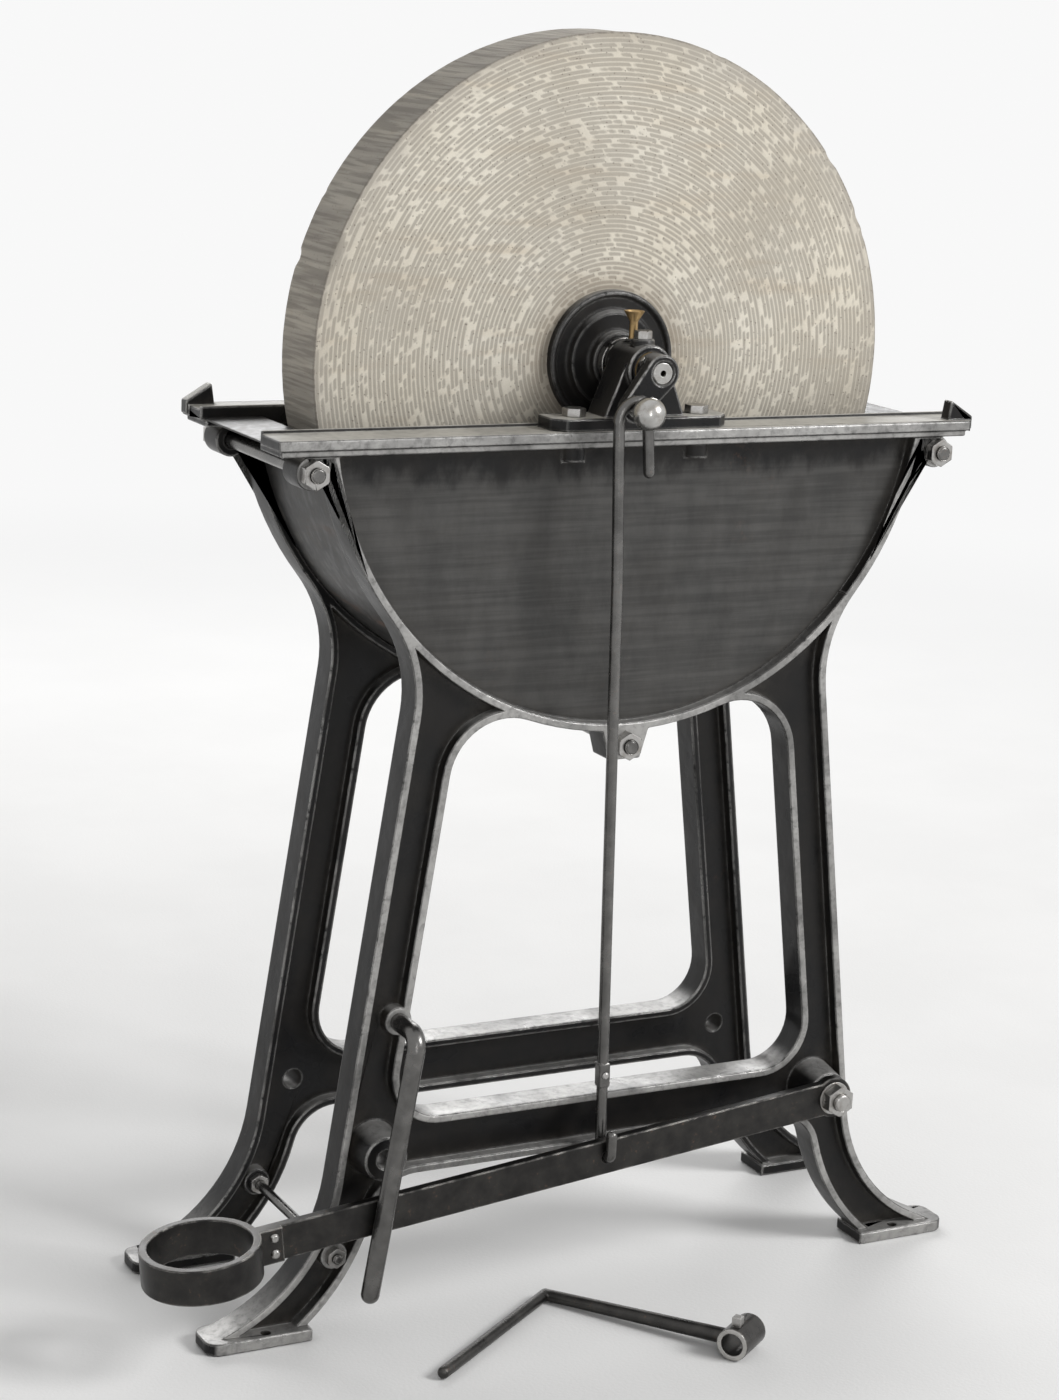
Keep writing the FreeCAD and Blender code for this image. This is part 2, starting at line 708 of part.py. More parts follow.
def stone_flange(way):
    """Dished clamping flange; way -1 is the front one."""
    face = stone_face_y
    bore = spindle_middle_diameter / 2 + sliding_clearance
    rim = stone_flange_diameter / 2
    disc = rim - stone_flange_rim_width - stone_flange_step_width
    hub = spindle_middle_diameter / 2 + stone_flange_hub_wall
    profile = [
        (bore, face),
        (rim, face),
        (rim, face + stone_flange_bead - 2.5),
        (rim - 1.2, face + stone_flange_bead - 0.8),
        (rim - 3.2, face + stone_flange_bead),
        (rim - 5.0, face + stone_flange_bead - 1.0),
        (rim - stone_flange_rim_width, face + stone_flange_recess),
        (disc + 3, face + stone_flange_recess),
        (disc + 1, face + stone_flange_recess + 1.5),
        (disc, face + stone_flange_disc_height - 1.5),
        (disc - 1.5, face + stone_flange_disc_height),
        (hub + 2, face + stone_flange_disc_height),
        (hub, face + stone_flange_disc_height + 2),
        (hub, face + stone_flange_hub_height - 1.5),
        (hub - 1.5, face + stone_flange_hub_height),
        (bore, face + stone_flange_hub_height),
    ]
    return revolve_about_spindle(profile, way)


def lock_rings():
    """Notched rings on the spindle thread that hold both flanges."""
    rings = []
    bore = spindle_middle_diameter / 2 + sliding_clearance
    rim = spindle_middle_diameter / 2 + lock_ring_width
    near = stone_face_y + stone_flange_hub_height
    for side in (-1, 1):
        y0, y1 = sorted((side * near, side * (near + lock_ring_thickness)))
        ring = rod_y(rim, 0, y0, y1, spindle_height)
        ring = ring.cut(rod_y(bore, 0, y0, y1, spindle_height))
        for step in range(4):
            half = lock_ring_notch_width / 2
            notch = box(-half, half, y0, y1, rim - lock_ring_notch_depth, rim + 1)
            notch.rotate(vec(0, 0, 0), vec(0, 1, 0), 90 * step + 45)
            notch.translate(vec(0, 0, spindle_height))
            ring = ring.cut(notch)
        rings.append(ring)
    return Part.makeCompound(rings)


def bearing_body():
    """Front bearing. The rear one is this shape turned about Z."""
    half = bearing_base_length / 2
    y0 = -bearing_y - bearing_base_width / 2
    y1 = -bearing_y + bearing_base_width / 2
    cut = bearing_base_corner_cut
    corners = [
        (-half + cut, y0),
        (half - cut, y0),
        (half, y0 + cut),
        (half, y1),
        (-half, y1),
        (-half, y0 + cut),
        (-half + cut, y0),
    ]
    outline = Part.makePolygon([vec(x, y, rail_top_z) for x, y in corners])
    base = Part.Face(outline).extrude(vec(0, 0, bearing_base_thickness))
    foot = bearing_pedestal_foot_width / 2
    low = rail_top_z + bearing_base_thickness - 1
    rise = spindle_height - low
    reach = math.hypot(foot, rise)
    turn = math.acos(bearing_boss_radius / reach) - math.atan2(foot, rise) + math.pi / 2
    side_x = bearing_boss_radius * math.sin(turn)
    side_z = spindle_height - bearing_boss_radius * math.cos(turn)
    wedge = [
        line((-foot, low), (foot, low)),
        line((foot, low), (side_x, side_z)),
        line((side_x, side_z), (-side_x, side_z)),
        line((-side_x, side_z), (-foot, low)),
    ]
    pedestal = plate(wedge, y0 + 1, y1 - 1)
    b0 = -bearing_outer_y
    b1 = -bearing_inner_y
    boss = rod_y(bearing_boss_radius, 0, b0, b1, spindle_height)
    seat_top = spindle_height + bearing_boss_radius + plug_seat_height
    seat = rod_z(plug_seat_radius, 0, -oil_plug_y, spindle_height, seat_top)
    cup_seat_radius = cup_stem_diameter / 2 + cup_seat_wall
    cup_seat = rod_z(cup_seat_radius, 0, -oil_cup_y, spindle_height, seat_top - 2)
    body = base.fuse([pedestal, boss, seat, cup_seat])
    holes = [rod_y(bearing_bush_radius, 0, b0 - 1, b1 + 1, spindle_height)]
    plug = plug_diameter / 2 + sliding_clearance
    cup = cup_stem_diameter / 2 + sliding_clearance
    holes.append(rod_z(plug, 0, -oil_plug_y, spindle_height, seat_top + 1))
    holes.append(rod_z(cup, 0, -oil_cup_y, spindle_height, seat_top + 1))
    bolt = bearing_bolt_diameter / 2 + bearing_bolt_hole_clearance
    for side in (-1, 1):
        top = rail_top_z + bearing_base_thickness + 1
        holes.append(rod_z(bolt, side * bearing_bolt_x, -bearing_y, rail_top_z - 1, top))
    return body.cut(holes).removeSplitter()


def bearing_bush():
    """Plain bronze bush, a push fit in the front bearing."""
    b0 = -bearing_outer_y
    b1 = -bearing_inner_y
    bush = rod_y(bearing_bush_radius - sliding_clearance, 0, b0, b1, spindle_height)
    bush = bush.cut(rod_y(spindle_journal_diameter / 2 + sliding_clearance, 0, b0, b1, spindle_height))
    hole = oil_hole_diameter / 2
    top = spindle_height + bearing_bush_radius
    for y in (-oil_plug_y, -oil_cup_y):
        bush = bush.cut(rod_z(hole, 0, y, spindle_height, top))
    return bush


def bearing_bolts():
    bolts = []
    seat = rail_top_z + bearing_base_thickness
    low = rail_bottom_z - bearing_bolt_reach + 1
    for side in (-1, 1):
        x = side * bearing_bolt_x
        head = hexagon(bearing_bolt_across_flats, bearing_bolt_head_height, vec(x, -bearing_y, seat), vec(0, 0, 1))
        shank = rod_z(bearing_bolt_diameter / 2, x, -bearing_y, low, seat + 1)
        bolts.append(head.fuse(shank).removeSplitter())
    return Part.makeCompound(bolts)


def oil_plug():
    """Hexagon-headed plug that closes the upper oil hole of the front bearing."""
    seat_top = spindle_height + bearing_boss_radius + plug_seat_height
    head = hexagon(plug_across_flats, plug_head_height, vec(0, -oil_plug_y, seat_top), vec(0, 0, 1))
    low = spindle_height + bearing_bush_radius + 1
    stem = rod_z(plug_diameter / 2, 0, -oil_plug_y, low, seat_top + 1)
    return head.fuse(stem).removeSplitter()


def oil_cup():
    """Flared oil cup on a short tube, open down to the bush."""
    low = spindle_height + bearing_bush_radius + 1
    neck_z = spindle_height + bearing_boss_radius + cup_stem_height
    stem = cup_stem_diameter / 2
    rim = cup_rim_radius
    axis = vec(0, 0, 1)
    outer = rod_z(stem, 0, -oil_cup_y, low, neck_z)
    outer = outer.fuse(Part.makeCone(stem, rim, cup_flare_height, vec(0, -oil_cup_y, neck_z), axis))
    bore = stem - cup_wall
    inner = rod_z(bore, 0, -oil_cup_y, low - 1, neck_z)
    flare = Part.makeCone(bore, rim - cup_wall, cup_flare_height, vec(0, -oil_cup_y, neck_z), axis)
    return outer.cut(inner.fuse(flare)).removeSplitter()


def turned_to_rear(shape):
    copy = shape.copy()
    copy.rotate(vec(0, 0, 0), vec(0, 0, 1), 180)
    return copy


def crank_taper_pin_hole():
    """Cross hole through hub and spindle, square to the crank arm."""
    y = -(crank_hub_inner_y + (crank_hub_length - crank_arm_thickness) / 2)
    radius = crank_taper_pin_diameter / 2 + sliding_clearance
    reach = crank_hub_radius + 4
    start = vec(0, y, spindle_height)
    angle = math.radians(crank_rest_deg + 90)
    way = vec(math.cos(angle), 0, math.sin(angle))
    return Part.makeCylinder(radius, 2 * reach, start - way * reach, way)


def crank_taper_pin():
    y = -(crank_hub_inner_y + (crank_hub_length - crank_arm_thickness) / 2)
    reach = crank_hub_radius + crank_taper_pin_stand_out
    start = vec(0, y, spindle_height)
    angle = math.radians(crank_rest_deg + 90)
    way = vec(math.cos(angle), 0, math.sin(angle))
    return Part.makeCylinder(crank_taper_pin_diameter / 2, 2 * reach, start - way * reach, way)


def crank_arm():
    face = -crank_face_y
    inner = -crank_hub_inner_y
    hub = rod_y(crank_hub_radius, 0, face, inner, spindle_height)
    web_y = face + crank_arm_thickness
    big = rod_y(crank_hub_radius, 0, face, web_y, spindle_height)
    lean = (crank_hub_radius - crank_pin_boss_radius) / crank_throw
    up = math.sqrt(1 - lean**2)
    big_x = lean * crank_hub_radius
    small_x = crank_throw + lean * crank_pin_boss_radius
    sides = [
        line((big_x, up * crank_hub_radius), (small_x, up * crank_pin_boss_radius)),
        line((small_x, up * crank_pin_boss_radius), (small_x, -up * crank_pin_boss_radius)),
        line((small_x, -up * crank_pin_boss_radius), (big_x, -up * crank_hub_radius)),
        line((big_x, -up * crank_hub_radius), (big_x, up * crank_hub_radius)),
    ]
    web = plate(sides, face, web_y)
    web.rotate(vec(0, 0, 0), vec(0, 1, 0), -crank_rest_deg)
    web.translate(vec(0, 0, spindle_height))
    small = rod_y(crank_pin_boss_radius, crank_pin_x, face, web_y, crank_pin_z)
    arm = hub.fuse([big, web, small])
    bore = spindle_end_diameter / 2 + sliding_clearance
    pin = crank_pin_shank_diameter / 2 + sliding_clearance
    arm = arm.cut(rod_y(bore, 0, face - 1, inner + 1, spindle_height))
    arm = arm.cut(rod_y(pin, crank_pin_x, face - 1, web_y + 1, crank_pin_z))
    return arm.cut(crank_taper_pin_hole()).removeSplitter()


def crank_pin():
    """Pin with a slim neck for the hook and a ball on its end."""
    face = -crank_face_y
    shank = rod_y(crank_pin_shank_diameter / 2, crank_pin_x, face, face + crank_arm_thickness, crank_pin_z)
    neck = rod_y(crank_pin_neck_diameter / 2, crank_pin_x, ball_y, face + 2, crank_pin_z)
    ball = Part.makeSphere(crank_ball_diameter / 2, vec(crank_pin_x, ball_y, crank_pin_z))
    return shank.fuse([neck, ball]).removeSplitter()


def quarter_bend(radius, centre, start, end):
    """Round bar bent through a right angle about centre, from start to end."""
    a = start - centre
    b = end - centre
    through = centre + (a + b) * (1 / math.sqrt(2))
    path = Part.Wire([Part.Arc(start, through, end).toShape()])
    side = a.cross(b)
    section = Part.Wire([Part.Circle(start, side.cross(a), radius).toShape()])
    return path.makePipeShell([section], True, False)


def rod_route():
    """Top of the stem, the slight knee below it and its lower end above the treadle bar."""
    top_z = crank_pin_z + crank_pin_neck_diameter / 2 + hook_top_gap + rod_radius
    stem_top = vec(crank_pin_x - hook_stem_turn, hook_y, top_z - hook_stem_turn)
    bend = rod_eye_bend_radius
    stem_low = vec(rod_hole_x, -(bar_inner_y - bend), rod_hole_z + bend)
    share = rod_straight_drop / (stem_top.z - stem_low.z)
    knee_x = stem_top.x + (stem_low.x - stem_top.x) * share
    knee = vec(knee_x, hook_y, stem_top.z - rod_straight_drop)
    return top_z, stem_top, knee, stem_low


def straight(radius, start, end):
    run = end - start
    return Part.makeCylinder(radius, run.Length, start, run)


def rod_hook(top_z, stem_top):
    """Hook over the neck of the crank pin, with its open side below."""
    r = rod_radius
    tail_turn = crank_pin_neck_diameter / 2 + r + hook_tail_gap
    tail_x = crank_pin_x + tail_turn
    crown = vec(crank_pin_x, hook_y, top_z)
    tail_top = vec(tail_x, hook_y, top_z - tail_turn)
    right = quarter_bend(r, vec(crank_pin_x, hook_y, tail_top.z), crown, tail_top)
    left = quarter_bend(r, vec(crank_pin_x, hook_y, stem_top.z), crown, stem_top)
    tail_drop = tail_top.z - (crank_pin_z - hook_tail_length)
    tail_end = tail_top + vec(tail_drop * math.tan(math.radians(hook_tail_lean_deg)), 0, -tail_drop)
    balls = [Part.makeSphere(r, tail_top), Part.makeSphere(r, tail_end)]
    return [right, left, straight(r, tail_end, tail_top)] + balls


def rod_eye():
    """Lower end, bent forwards through the hole in the treadle bar and up again."""
    r = rod_radius
    bend = rod_eye_bend_radius
    x = rod_hole_x
    high = rod_hole_z + bend
    back = vec(x, -bar_inner_y, rod_hole_z)
    front = vec(x, -bar_outer_y, rod_hole_z)
    front_up = vec(x, -(bar_outer_y + bend), high)
    tip = vec(x, front_up.y, rod_hole_z + rod_tip_height)
    bend_in = quarter_bend(r, vec(x, back.y, high), vec(x, back.y + bend, high), back)
    bend_out = quarter_bend(r, vec(x, front.y, high), front, front_up)
    return [bend_in, straight(r, front, back), bend_out, straight(r, front_up, tip), Part.makeSphere(r, tip)]


def connecting_rod():
    """Rod hooked over the neck of the crank pin and through the treadle bar."""
    top_z, stem_top, knee, stem_low = rod_route()
    r = rod_radius
    pieces = rod_hook(top_z, stem_top)
    pieces.append(Part.makeSphere(r, stem_top))
    pieces.append(straight(r, stem_top, knee))
    pieces.append(Part.makeSphere(r, knee))
    pieces.append(straight(r, knee, stem_low))
    pieces.append(Part.makeSphere(r, stem_low))
    pieces.append(rod_lap())
    pieces += rod_eye()
    return pieces[0].fuse(pieces[1:]).cut(rod_rivet_shank(sliding_clearance)).removeSplitter()


def lap_point():
    knee, stem_low = rod_route()[2:]
    run = stem_low - knee
    return knee + run * ((rod_hole_z + lap_height - knee.z) / run.z)


def rod_lap():
    """Flattened lap joint low on the rod, held by one rivet."""
    knee, stem_low = rod_route()[2:]
    half = lap_width / 2
    lap = box(-half, half, -half, half, -lap_length / 2, lap_length / 2)
    lap = lap.makeChamfer(1.5, lap.Edges)
    lap.Placement = FreeCAD.Placement(lap_point(), FreeCAD.Rotation(vec(0, 0, -1), stem_low - knee))
    return lap


def rod_rivet_shank(clearance):
    middle = lap_point()
    reach = lap_width / 2 + 1
    radius = rod_rivet_diameter / 2 + clearance
    return rod_y(radius, middle.x, middle.y - reach, middle.y + reach, middle.z)


def rod_rivet():
    middle = lap_point()
    heads = []
    seat = lap_width / 2 + 0.6
    for side in (-1, 1):
        base = vec(middle.x, middle.y + side * seat, middle.z)
        head = Part.makeCone(
            rod_rivet_head_radius, rod_rivet_head_radius - 1.5, rod_rivet_head_height, base, vec(0, side, 0)
        )
        heads.append(head)
    return rod_rivet_shank(0).fuse(heads).removeSplitter()


def treadle_bar():
    """Flat bar on edge with an eye at the pivot, bent round into a foot loop at the far end."""
    half = treadle_bar_height / 2
    y0 = -bar_outer_y
    y1 = -bar_inner_y
    loop_x = pivot_x - loop_distance
    loop_edge = loop_x + loop_outer_radius
    bar = box(loop_edge - 3, pivot_x, y0, y1, pivot_z - half, pivot_z + half)
    eye_radius = pivot_bolt_diameter / 2 + treadle_eye_wall
    eye = rod_y(eye_radius, pivot_x, y0, y1, pivot_z)
    ring = rod_z(loop_outer_radius, loop_x, -bar_middle_y, pivot_z - half, pivot_z + half)
    hollow = loop_outer_radius - loop_band_thickness
    lap_y = y0 - loop_lap_thickness
    lap = box(loop_edge - 3, loop_edge + loop_lap_length, lap_y, y0, pivot_z - half, pivot_z + half)
    body = bar.fuse([eye, ring, lap])
    body = body.cut(rod_z(hollow, loop_x, -bar_middle_y, pivot_z - half - 1, pivot_z + half + 1))
    pivot = pivot_bolt_diameter / 2 + 2 * sliding_clearance
    body = body.cut(rod_y(pivot, pivot_x, y0 - 1, y1 + 1, pivot_z))
    hook = rod_radius + treadle_rod_hole_clearance
    body = body.cut(rod_y(hook, pivot_x - treadle_rod_hole_distance, y0 - 1, y1 + 1, pivot_z))
    for x, z in loop_rivet_places():
        hole = loop_rivet_diameter / 2 + sliding_clearance
        body = body.cut(rod_y(hole, x, lap_y - 1, y1 + 1, z))
    return sloped(body.removeSplitter())


def loop_rivet_places():
    x = pivot_x - loop_distance + loop_outer_radius + loop_lap_length - loop_rivet_end_distance
    half = loop_rivet_spacing / 2
    return [(x, pivot_z - half), (x, pivot_z + half)]


def loop_rivets():
    rivets = []
    lap_y = -bar_outer_y - loop_lap_thickness
    head = loop_rivet_diameter / 2 + loop_rivet_head_width
    for x, z in loop_rivet_places():
        rivet = rod_y(loop_rivet_diameter / 2, x, lap_y - 1, -bar_inner_y, z)
        front = Part.makeCone(head, head - 2, loop_rivet_head_height, vec(x, lap_y, z), vec(0, -1, 0))
        rivets.append(sloped(rivet.fuse(front).removeSplitter()))
    return Part.makeCompound(rivets)


def sloped(shape):
    shape.rotate(vec(pivot_x, 0, pivot_z), vec(0, 1, 0), -treadle_slope_deg)
    return shape


def pivot_bolt():
    """Bolt through the boss that carries the treadle."""
    seat = -web_inner_y
    end = -(bar_outer_y + pivot_outer_washer + pivot_nut_thickness + pivot_bolt_stand_out)
    base = vec(pivot_x, seat, pivot_z)
    head = hexagon(pivot_bolt_across_flats, pivot_bolt_head_height, base, vec(0, 1, 0))
    shank = rod_y(pivot_bolt_diameter / 2, pivot_x, end, seat, pivot_z)
    tip = [edge for edge in shank.Edges if abs(edge.CenterOfMass.y - end) < 0.01 and edge.Closed]
    return head.fuse(shank.makeChamfer(1.5, tip[:1])).removeSplitter()


def pivot_washers():
    hole = pivot_bolt_diameter / 2 + 2 * sliding_clearance
    washers = []
    outer_far = bar_outer_y + pivot_outer_washer
    rim = pivot_bolt_diameter / 2 + pivot_washer_width
    for y0, y1 in ((-bar_inner_y, -pivot_boss_end_y), (-outer_far, -bar_outer_y)):
        ring = rod_y(rim, pivot_x, y0, y1, pivot_z)
        washers.append(ring.cut(rod_y(hole, pivot_x, y0 - 1, y1 + 1, pivot_z)))
    return Part.makeCompound(washers)


def pivot_nut():
    base = vec(pivot_x, -(bar_outer_y + pivot_outer_washer), pivot_z)
    return nut(pivot_bolt_across_flats, pivot_nut_thickness, pivot_bolt_diameter, base, vec(0, -1, 0))


def guide_rod():
    """Round rod bent down in front of the treadle bar, fastened to the front frame at its top."""
    r = guide_rod_diameter / 2
    front_y = -(bar_outer_y + guide_gap_to_bar + r)
    start = vec(-guide_x, -frame_face_y, guide_z)
    knee = vec(-guide_x, front_y + guide_bend_radius, guide_z)
    down = vec(guide_x - guide_foot_x, 0, guide_foot_z - guide_z).normalize()
    centre = knee + down * guide_bend_radius
    bend_end = centre + vec(0, -guide_bend_radius, 0)
    tail_end = vec(-guide_foot_x, front_y, guide_foot_z)
    tail_way = tail_end - bend_end
    top = rod_y(r, -guide_x, knee.y, start.y, guide_z)
    bend = quarter_bend(r, centre, knee, bend_end)
    tail = Part.makeCylinder(r, tail_way.Length, bend_end, tail_way)
    knees = [Part.makeSphere(r, bend_end), Part.makeSphere(r, tail_end)]
    reach = frame_inner_y - guide_nut_thickness - guide_thread_stand_out
    thread = rod_y(guide_thread_diameter / 2, -guide_x, start.y, -reach, guide_z)
    return top.fuse([bend, tail, thread] + knees).removeSplitter()


def guide_nut():
    base = vec(-guide_x, -frame_inner_y, guide_z)
    return nut(guide_nut_across_flats, guide_nut_thickness, guide_thread_diameter, base, vec(0, 1, 0))


def lay_on_floor(shape):
    shape.rotate(vec(0, 0, 0), vec(0, 0, 1), hand_crank_turn_deg)
    shape.translate(vec(hand_crank_hub_x, hand_crank_hub_y, 0))
    return shape


def hand_crank():
    """Loose crank: hub along its own X axis, arm along Y, handle back along X."""
    hub_z = hand_crank_hub_radius
    half = hand_crank_hub_length / 2
    along = vec(1, 0, 0)
    hub = Part.makeCylinder(hand_crank_hub_radius, 2 * half, vec(-half, 0, hub_z), along)
    rod = hand_crank_rod_radius
    root = vec(0, 0, hub_z - hand_crank_arm_root_drop)
    elbow = vec(0, hand_crank_arm_length, rod)
    way = elbow - root
    arm = Part.makeCone(hand_crank_arm_root_radius, rod, way.Length, root, way)
    knee = Part.makeSphere(rod, elbow)
    grip = Part.makeCylinder(rod, hand_crank_handle_length, elbow, vec(-1, 0, 0))
    grip_end = Part.makeSphere(rod, elbow - vec(hand_crank_handle_length, 0, 0))
    body = hub.fuse([arm, knee, grip, grip_end])
    bore = spindle_end_diameter / 2 + sliding_clearance
    body = body.cut(Part.makeCylinder(bore, 2 * half + 2, vec(-half - 1, 0, hub_z), along))
    screw = set_screw_diameter / 2 + sliding_clearance
    top = 2 * hub_z + set_screw_head_gap
    body = body.cut(rod_z(screw, -half / 2, 0, hub_z, top))
    return lay_on_floor(body.removeSplitter())


def hand_crank_set_screw():
    """Square-headed screw that locks the loose crank on the spindle end."""
    half = hand_crank_hub_length / 2
    x = -half / 2
    low = hand_crank_hub_radius + spindle_end_diameter / 2 + 1
    seat = 2 * hand_crank_hub_radius + set_screw_head_gap
    shank = rod_z(set_screw_diameter / 2, x, 0, low, seat + 1)
    w = set_screw_head_width / 2
    head = box(x - w, x + w, -w, w, seat, seat + set_screw_head_height)
    head = head.makeChamfer(1.0, [edge for edge in head.Edges if edge.CenterOfMass.z > seat + w])
    return lay_on_floor(shank.fuse(head).removeSplitter())


def save(name, shape):
    shape.exportStep("parts/" + name + ".step")


def main():
    os.makedirs("parts", exist_ok=True)
    save("front_side_frame", side_frame(-1, True))
    save("rear_side_frame", turned_to_rear(side_frame(1, False)))
    save("trough", trough())
    save("upper_left_tie_rod", tie_rod(-tie_lug_x, tie_lug_z))
    save("upper_right_tie_rod", tie_rod(tie_lug_x, tie_lug_z))
    save("bottom_tie_rod", tie_rod(0, bottom_tie_z))
    save("tie_rod_nuts", tie_nuts())
    save("lower_left_brace_rod", brace_rod())
    save("brace_rod_nuts", brace_nuts())
    save("front_bearing", bearing_body())
    save("rear_bearing", turned_to_rear(bearing_body()))
    save("front_bearing_bush", bearing_bush())
    save("rear_bearing_bush", turned_to_rear(bearing_bush()))
    save("front_bearing_bolts", bearing_bolts())
    save("rear_bearing_bolts", turned_to_rear(bearing_bolts()))
    save("front_oil_plug", oil_plug())
    save("rear_oil_plug", turned_to_rear(oil_plug()))
    save("front_oil_cup", oil_cup())
    save("rear_oil_cup", turned_to_rear(oil_cup()))
    save("spindle", spindle())
    save("grindstone", grindstone())
    save("stone_packing_bush", packing_bush())
    save("front_stone_flange", stone_flange(-1))
    save("rear_stone_flange", stone_flange(1))
    save("flange_lock_rings", lock_rings())
    save("crank_arm", crank_arm())
    save("crank_taper_pin", crank_taper_pin())
    save("crank_pin", crank_pin())
    save("connecting_rod", connecting_rod())
    save("connecting_rod_rivet", rod_rivet())
    save("treadle_bar", treadle_bar())
    save("treadle_loop_rivets", loop_rivets())
    save("treadle_pivot_bolt", pivot_bolt())
    save("treadle_pivot_washers", pivot_washers())
    save("treadle_pivot_nut", pivot_nut())
    save("treadle_guide_rod", guide_rod())
    save("treadle_guide_nut", guide_nut())
    save("hand_crank", hand_crank())
    save("hand_crank_set_screw", hand_crank_set_screw())


main()
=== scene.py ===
"""Looks of a treadle grindstone: finishes, dressed stone, screw threads, lights, floor, camera."""

import json
import math
import random

import bpy
from mathutils import Matrix, Vector, noise


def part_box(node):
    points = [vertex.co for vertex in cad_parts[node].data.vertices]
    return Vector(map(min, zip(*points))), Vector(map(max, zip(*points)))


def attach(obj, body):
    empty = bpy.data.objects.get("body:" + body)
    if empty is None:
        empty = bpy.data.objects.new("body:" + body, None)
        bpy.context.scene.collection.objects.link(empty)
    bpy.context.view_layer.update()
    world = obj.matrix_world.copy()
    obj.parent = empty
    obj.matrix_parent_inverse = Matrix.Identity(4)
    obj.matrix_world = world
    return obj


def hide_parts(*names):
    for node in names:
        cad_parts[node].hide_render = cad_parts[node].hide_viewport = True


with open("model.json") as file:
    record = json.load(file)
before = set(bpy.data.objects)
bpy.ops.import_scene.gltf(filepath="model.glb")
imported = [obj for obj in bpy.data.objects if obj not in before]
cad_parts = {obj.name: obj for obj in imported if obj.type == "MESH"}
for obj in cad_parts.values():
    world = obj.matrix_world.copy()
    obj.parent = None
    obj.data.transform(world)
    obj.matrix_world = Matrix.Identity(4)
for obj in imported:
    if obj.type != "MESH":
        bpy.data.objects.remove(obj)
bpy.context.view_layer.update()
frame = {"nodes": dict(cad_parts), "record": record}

# Sizes of the machine that the looks have to meet, in metres
stone_low, stone_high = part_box("grindstone")
spindle_z = (stone_low.z + stone_high.z) / 2
stone_radius = (stone_high.z - stone_low.z) / 2
stone_half_thickness = stone_high.y
stone_bore_radius = 0.022
frame_face_y = 0.113
rail_front_y = frame_face_y + 0.011
panel_y = frame_face_y - 0.01
rail_top_z = 0.868
rib_centre_z = 0.896
rib_radius = 0.312
pivot_bolt_radius = 0.009

# The hub of the loose hand crank
mounts = {mount["name"]: mount for mount in frame["record"]["mounts"]}
crank_hub = {
    "centre": tuple(mounts["hand_crank_bore"]["pos_m"]),
    "direction": tuple(mounts["hand_crank_bore"]["axis"]),
    "radius": 0.0155,
}

# Heights between which the panels' painted light and slurry fade into a painted shadow band under
# the rail
slurry_and_light_full_z = 0.812
painted_rail_shadow_z = 0.84

# The dressed stone. A groove is whole or broken off in patches of this length and width
groove_pitch = 0.0044
groove_depth = 0.00042
groove_patch_length = 0.0085
groove_patch_width = 0.0052
groove_contrast = 5.0
groove_share = 1.9
face_wave_depth = 0.0002
rim_hollow_depth = 0.0005
rim_ridge_depth = 0.0003
rim_zone = 0.003
stone_edge_radius = 0.0022
stone_segments = 540
stone_rim_rows = 20

# Chips along the stone's two edges; they are longer along the edge than across it
chip_seed = 11
chip_count = 30
chip_zone = 0.014
chip_sizes = (0.003, 0.0075)
chip_depth_shares = (0.12, 0.24)
chip_stretch = 1.5

# Each rod with threaded ends, the outer face of its nut and the thread's pitch
threaded_rods = (
    ("upper_left_tie_rod", 0.124, 0.002),
    ("upper_right_tie_rod", 0.124, 0.002),
    ("bottom_tie_rod", 0.124, 0.002),
    ("lower_left_brace_rod", 0.121, 0.0015),
)
pivot_thread_pitch = 0.0025
thread_columns = 36
thread_rows_per_turn = 8

# How far a thread's crests and roots stand out of the plain rod and its inside lies in it,
# how far it stays from the rod's end, and from the nut and the end together
thread_crest = 0.0002
thread_root = 0.00003
thread_inside = 0.0004
thread_end_gap = 0.0006
thread_gaps = 0.0008

# How far the edges of each node are rounded, in metres; the rest get edge_round
edge_round = 0.0006
edge_rounds = {
    "front_side_frame": 0.0016,
    "rear_side_frame": 0.0016,
    "front_bearing": 0.0014,
    "rear_bearing": 0.0014,
    "crank_arm": 0.0012,
    "front_stone_flange": 0.001,
    "rear_stone_flange": 0.001,
    "treadle_bar": 0.0011,
    "hand_crank": 0.0004,
    "hand_crank_set_screw": 0.0003,
    "trough": 0.0005,
    "spindle": 0.0003,
    "crank_pin": 0.0003,
    "front_bearing_bush": 0.0003,
    "rear_bearing_bush": 0.0003,
    "front_oil_cup": 0.0003,
    "rear_oil_cup": 0.0003,
    "stone_packing_bush": 0.0004,
    "crank_taper_pin": 0.0003,
    "connecting_rod_rivet": 0.0003,
}

# Points this near are one, faces this flat are one, and edges this sharp are rounded
same_point_distance = 0.000002
flat_angle = math.radians(0.3)
sharp_angle = math.radians(32)

# How strong the sky shines on the machine, and how white it and the far floor look
sky_light = 0.36
background_white = 0.94
floor_fade = (0.9, 4.5)
floor_half_width = 40.0
floor_z = -0.0005

# The camera's place, its three turns in radians and its lens in millimetres
camera_place = (-1.4104, -2.5813, 1.2854)
camera_yaw = 0.4861
camera_pitch = 0.236
camera_roll = 0.048
camera_lens = 78.43


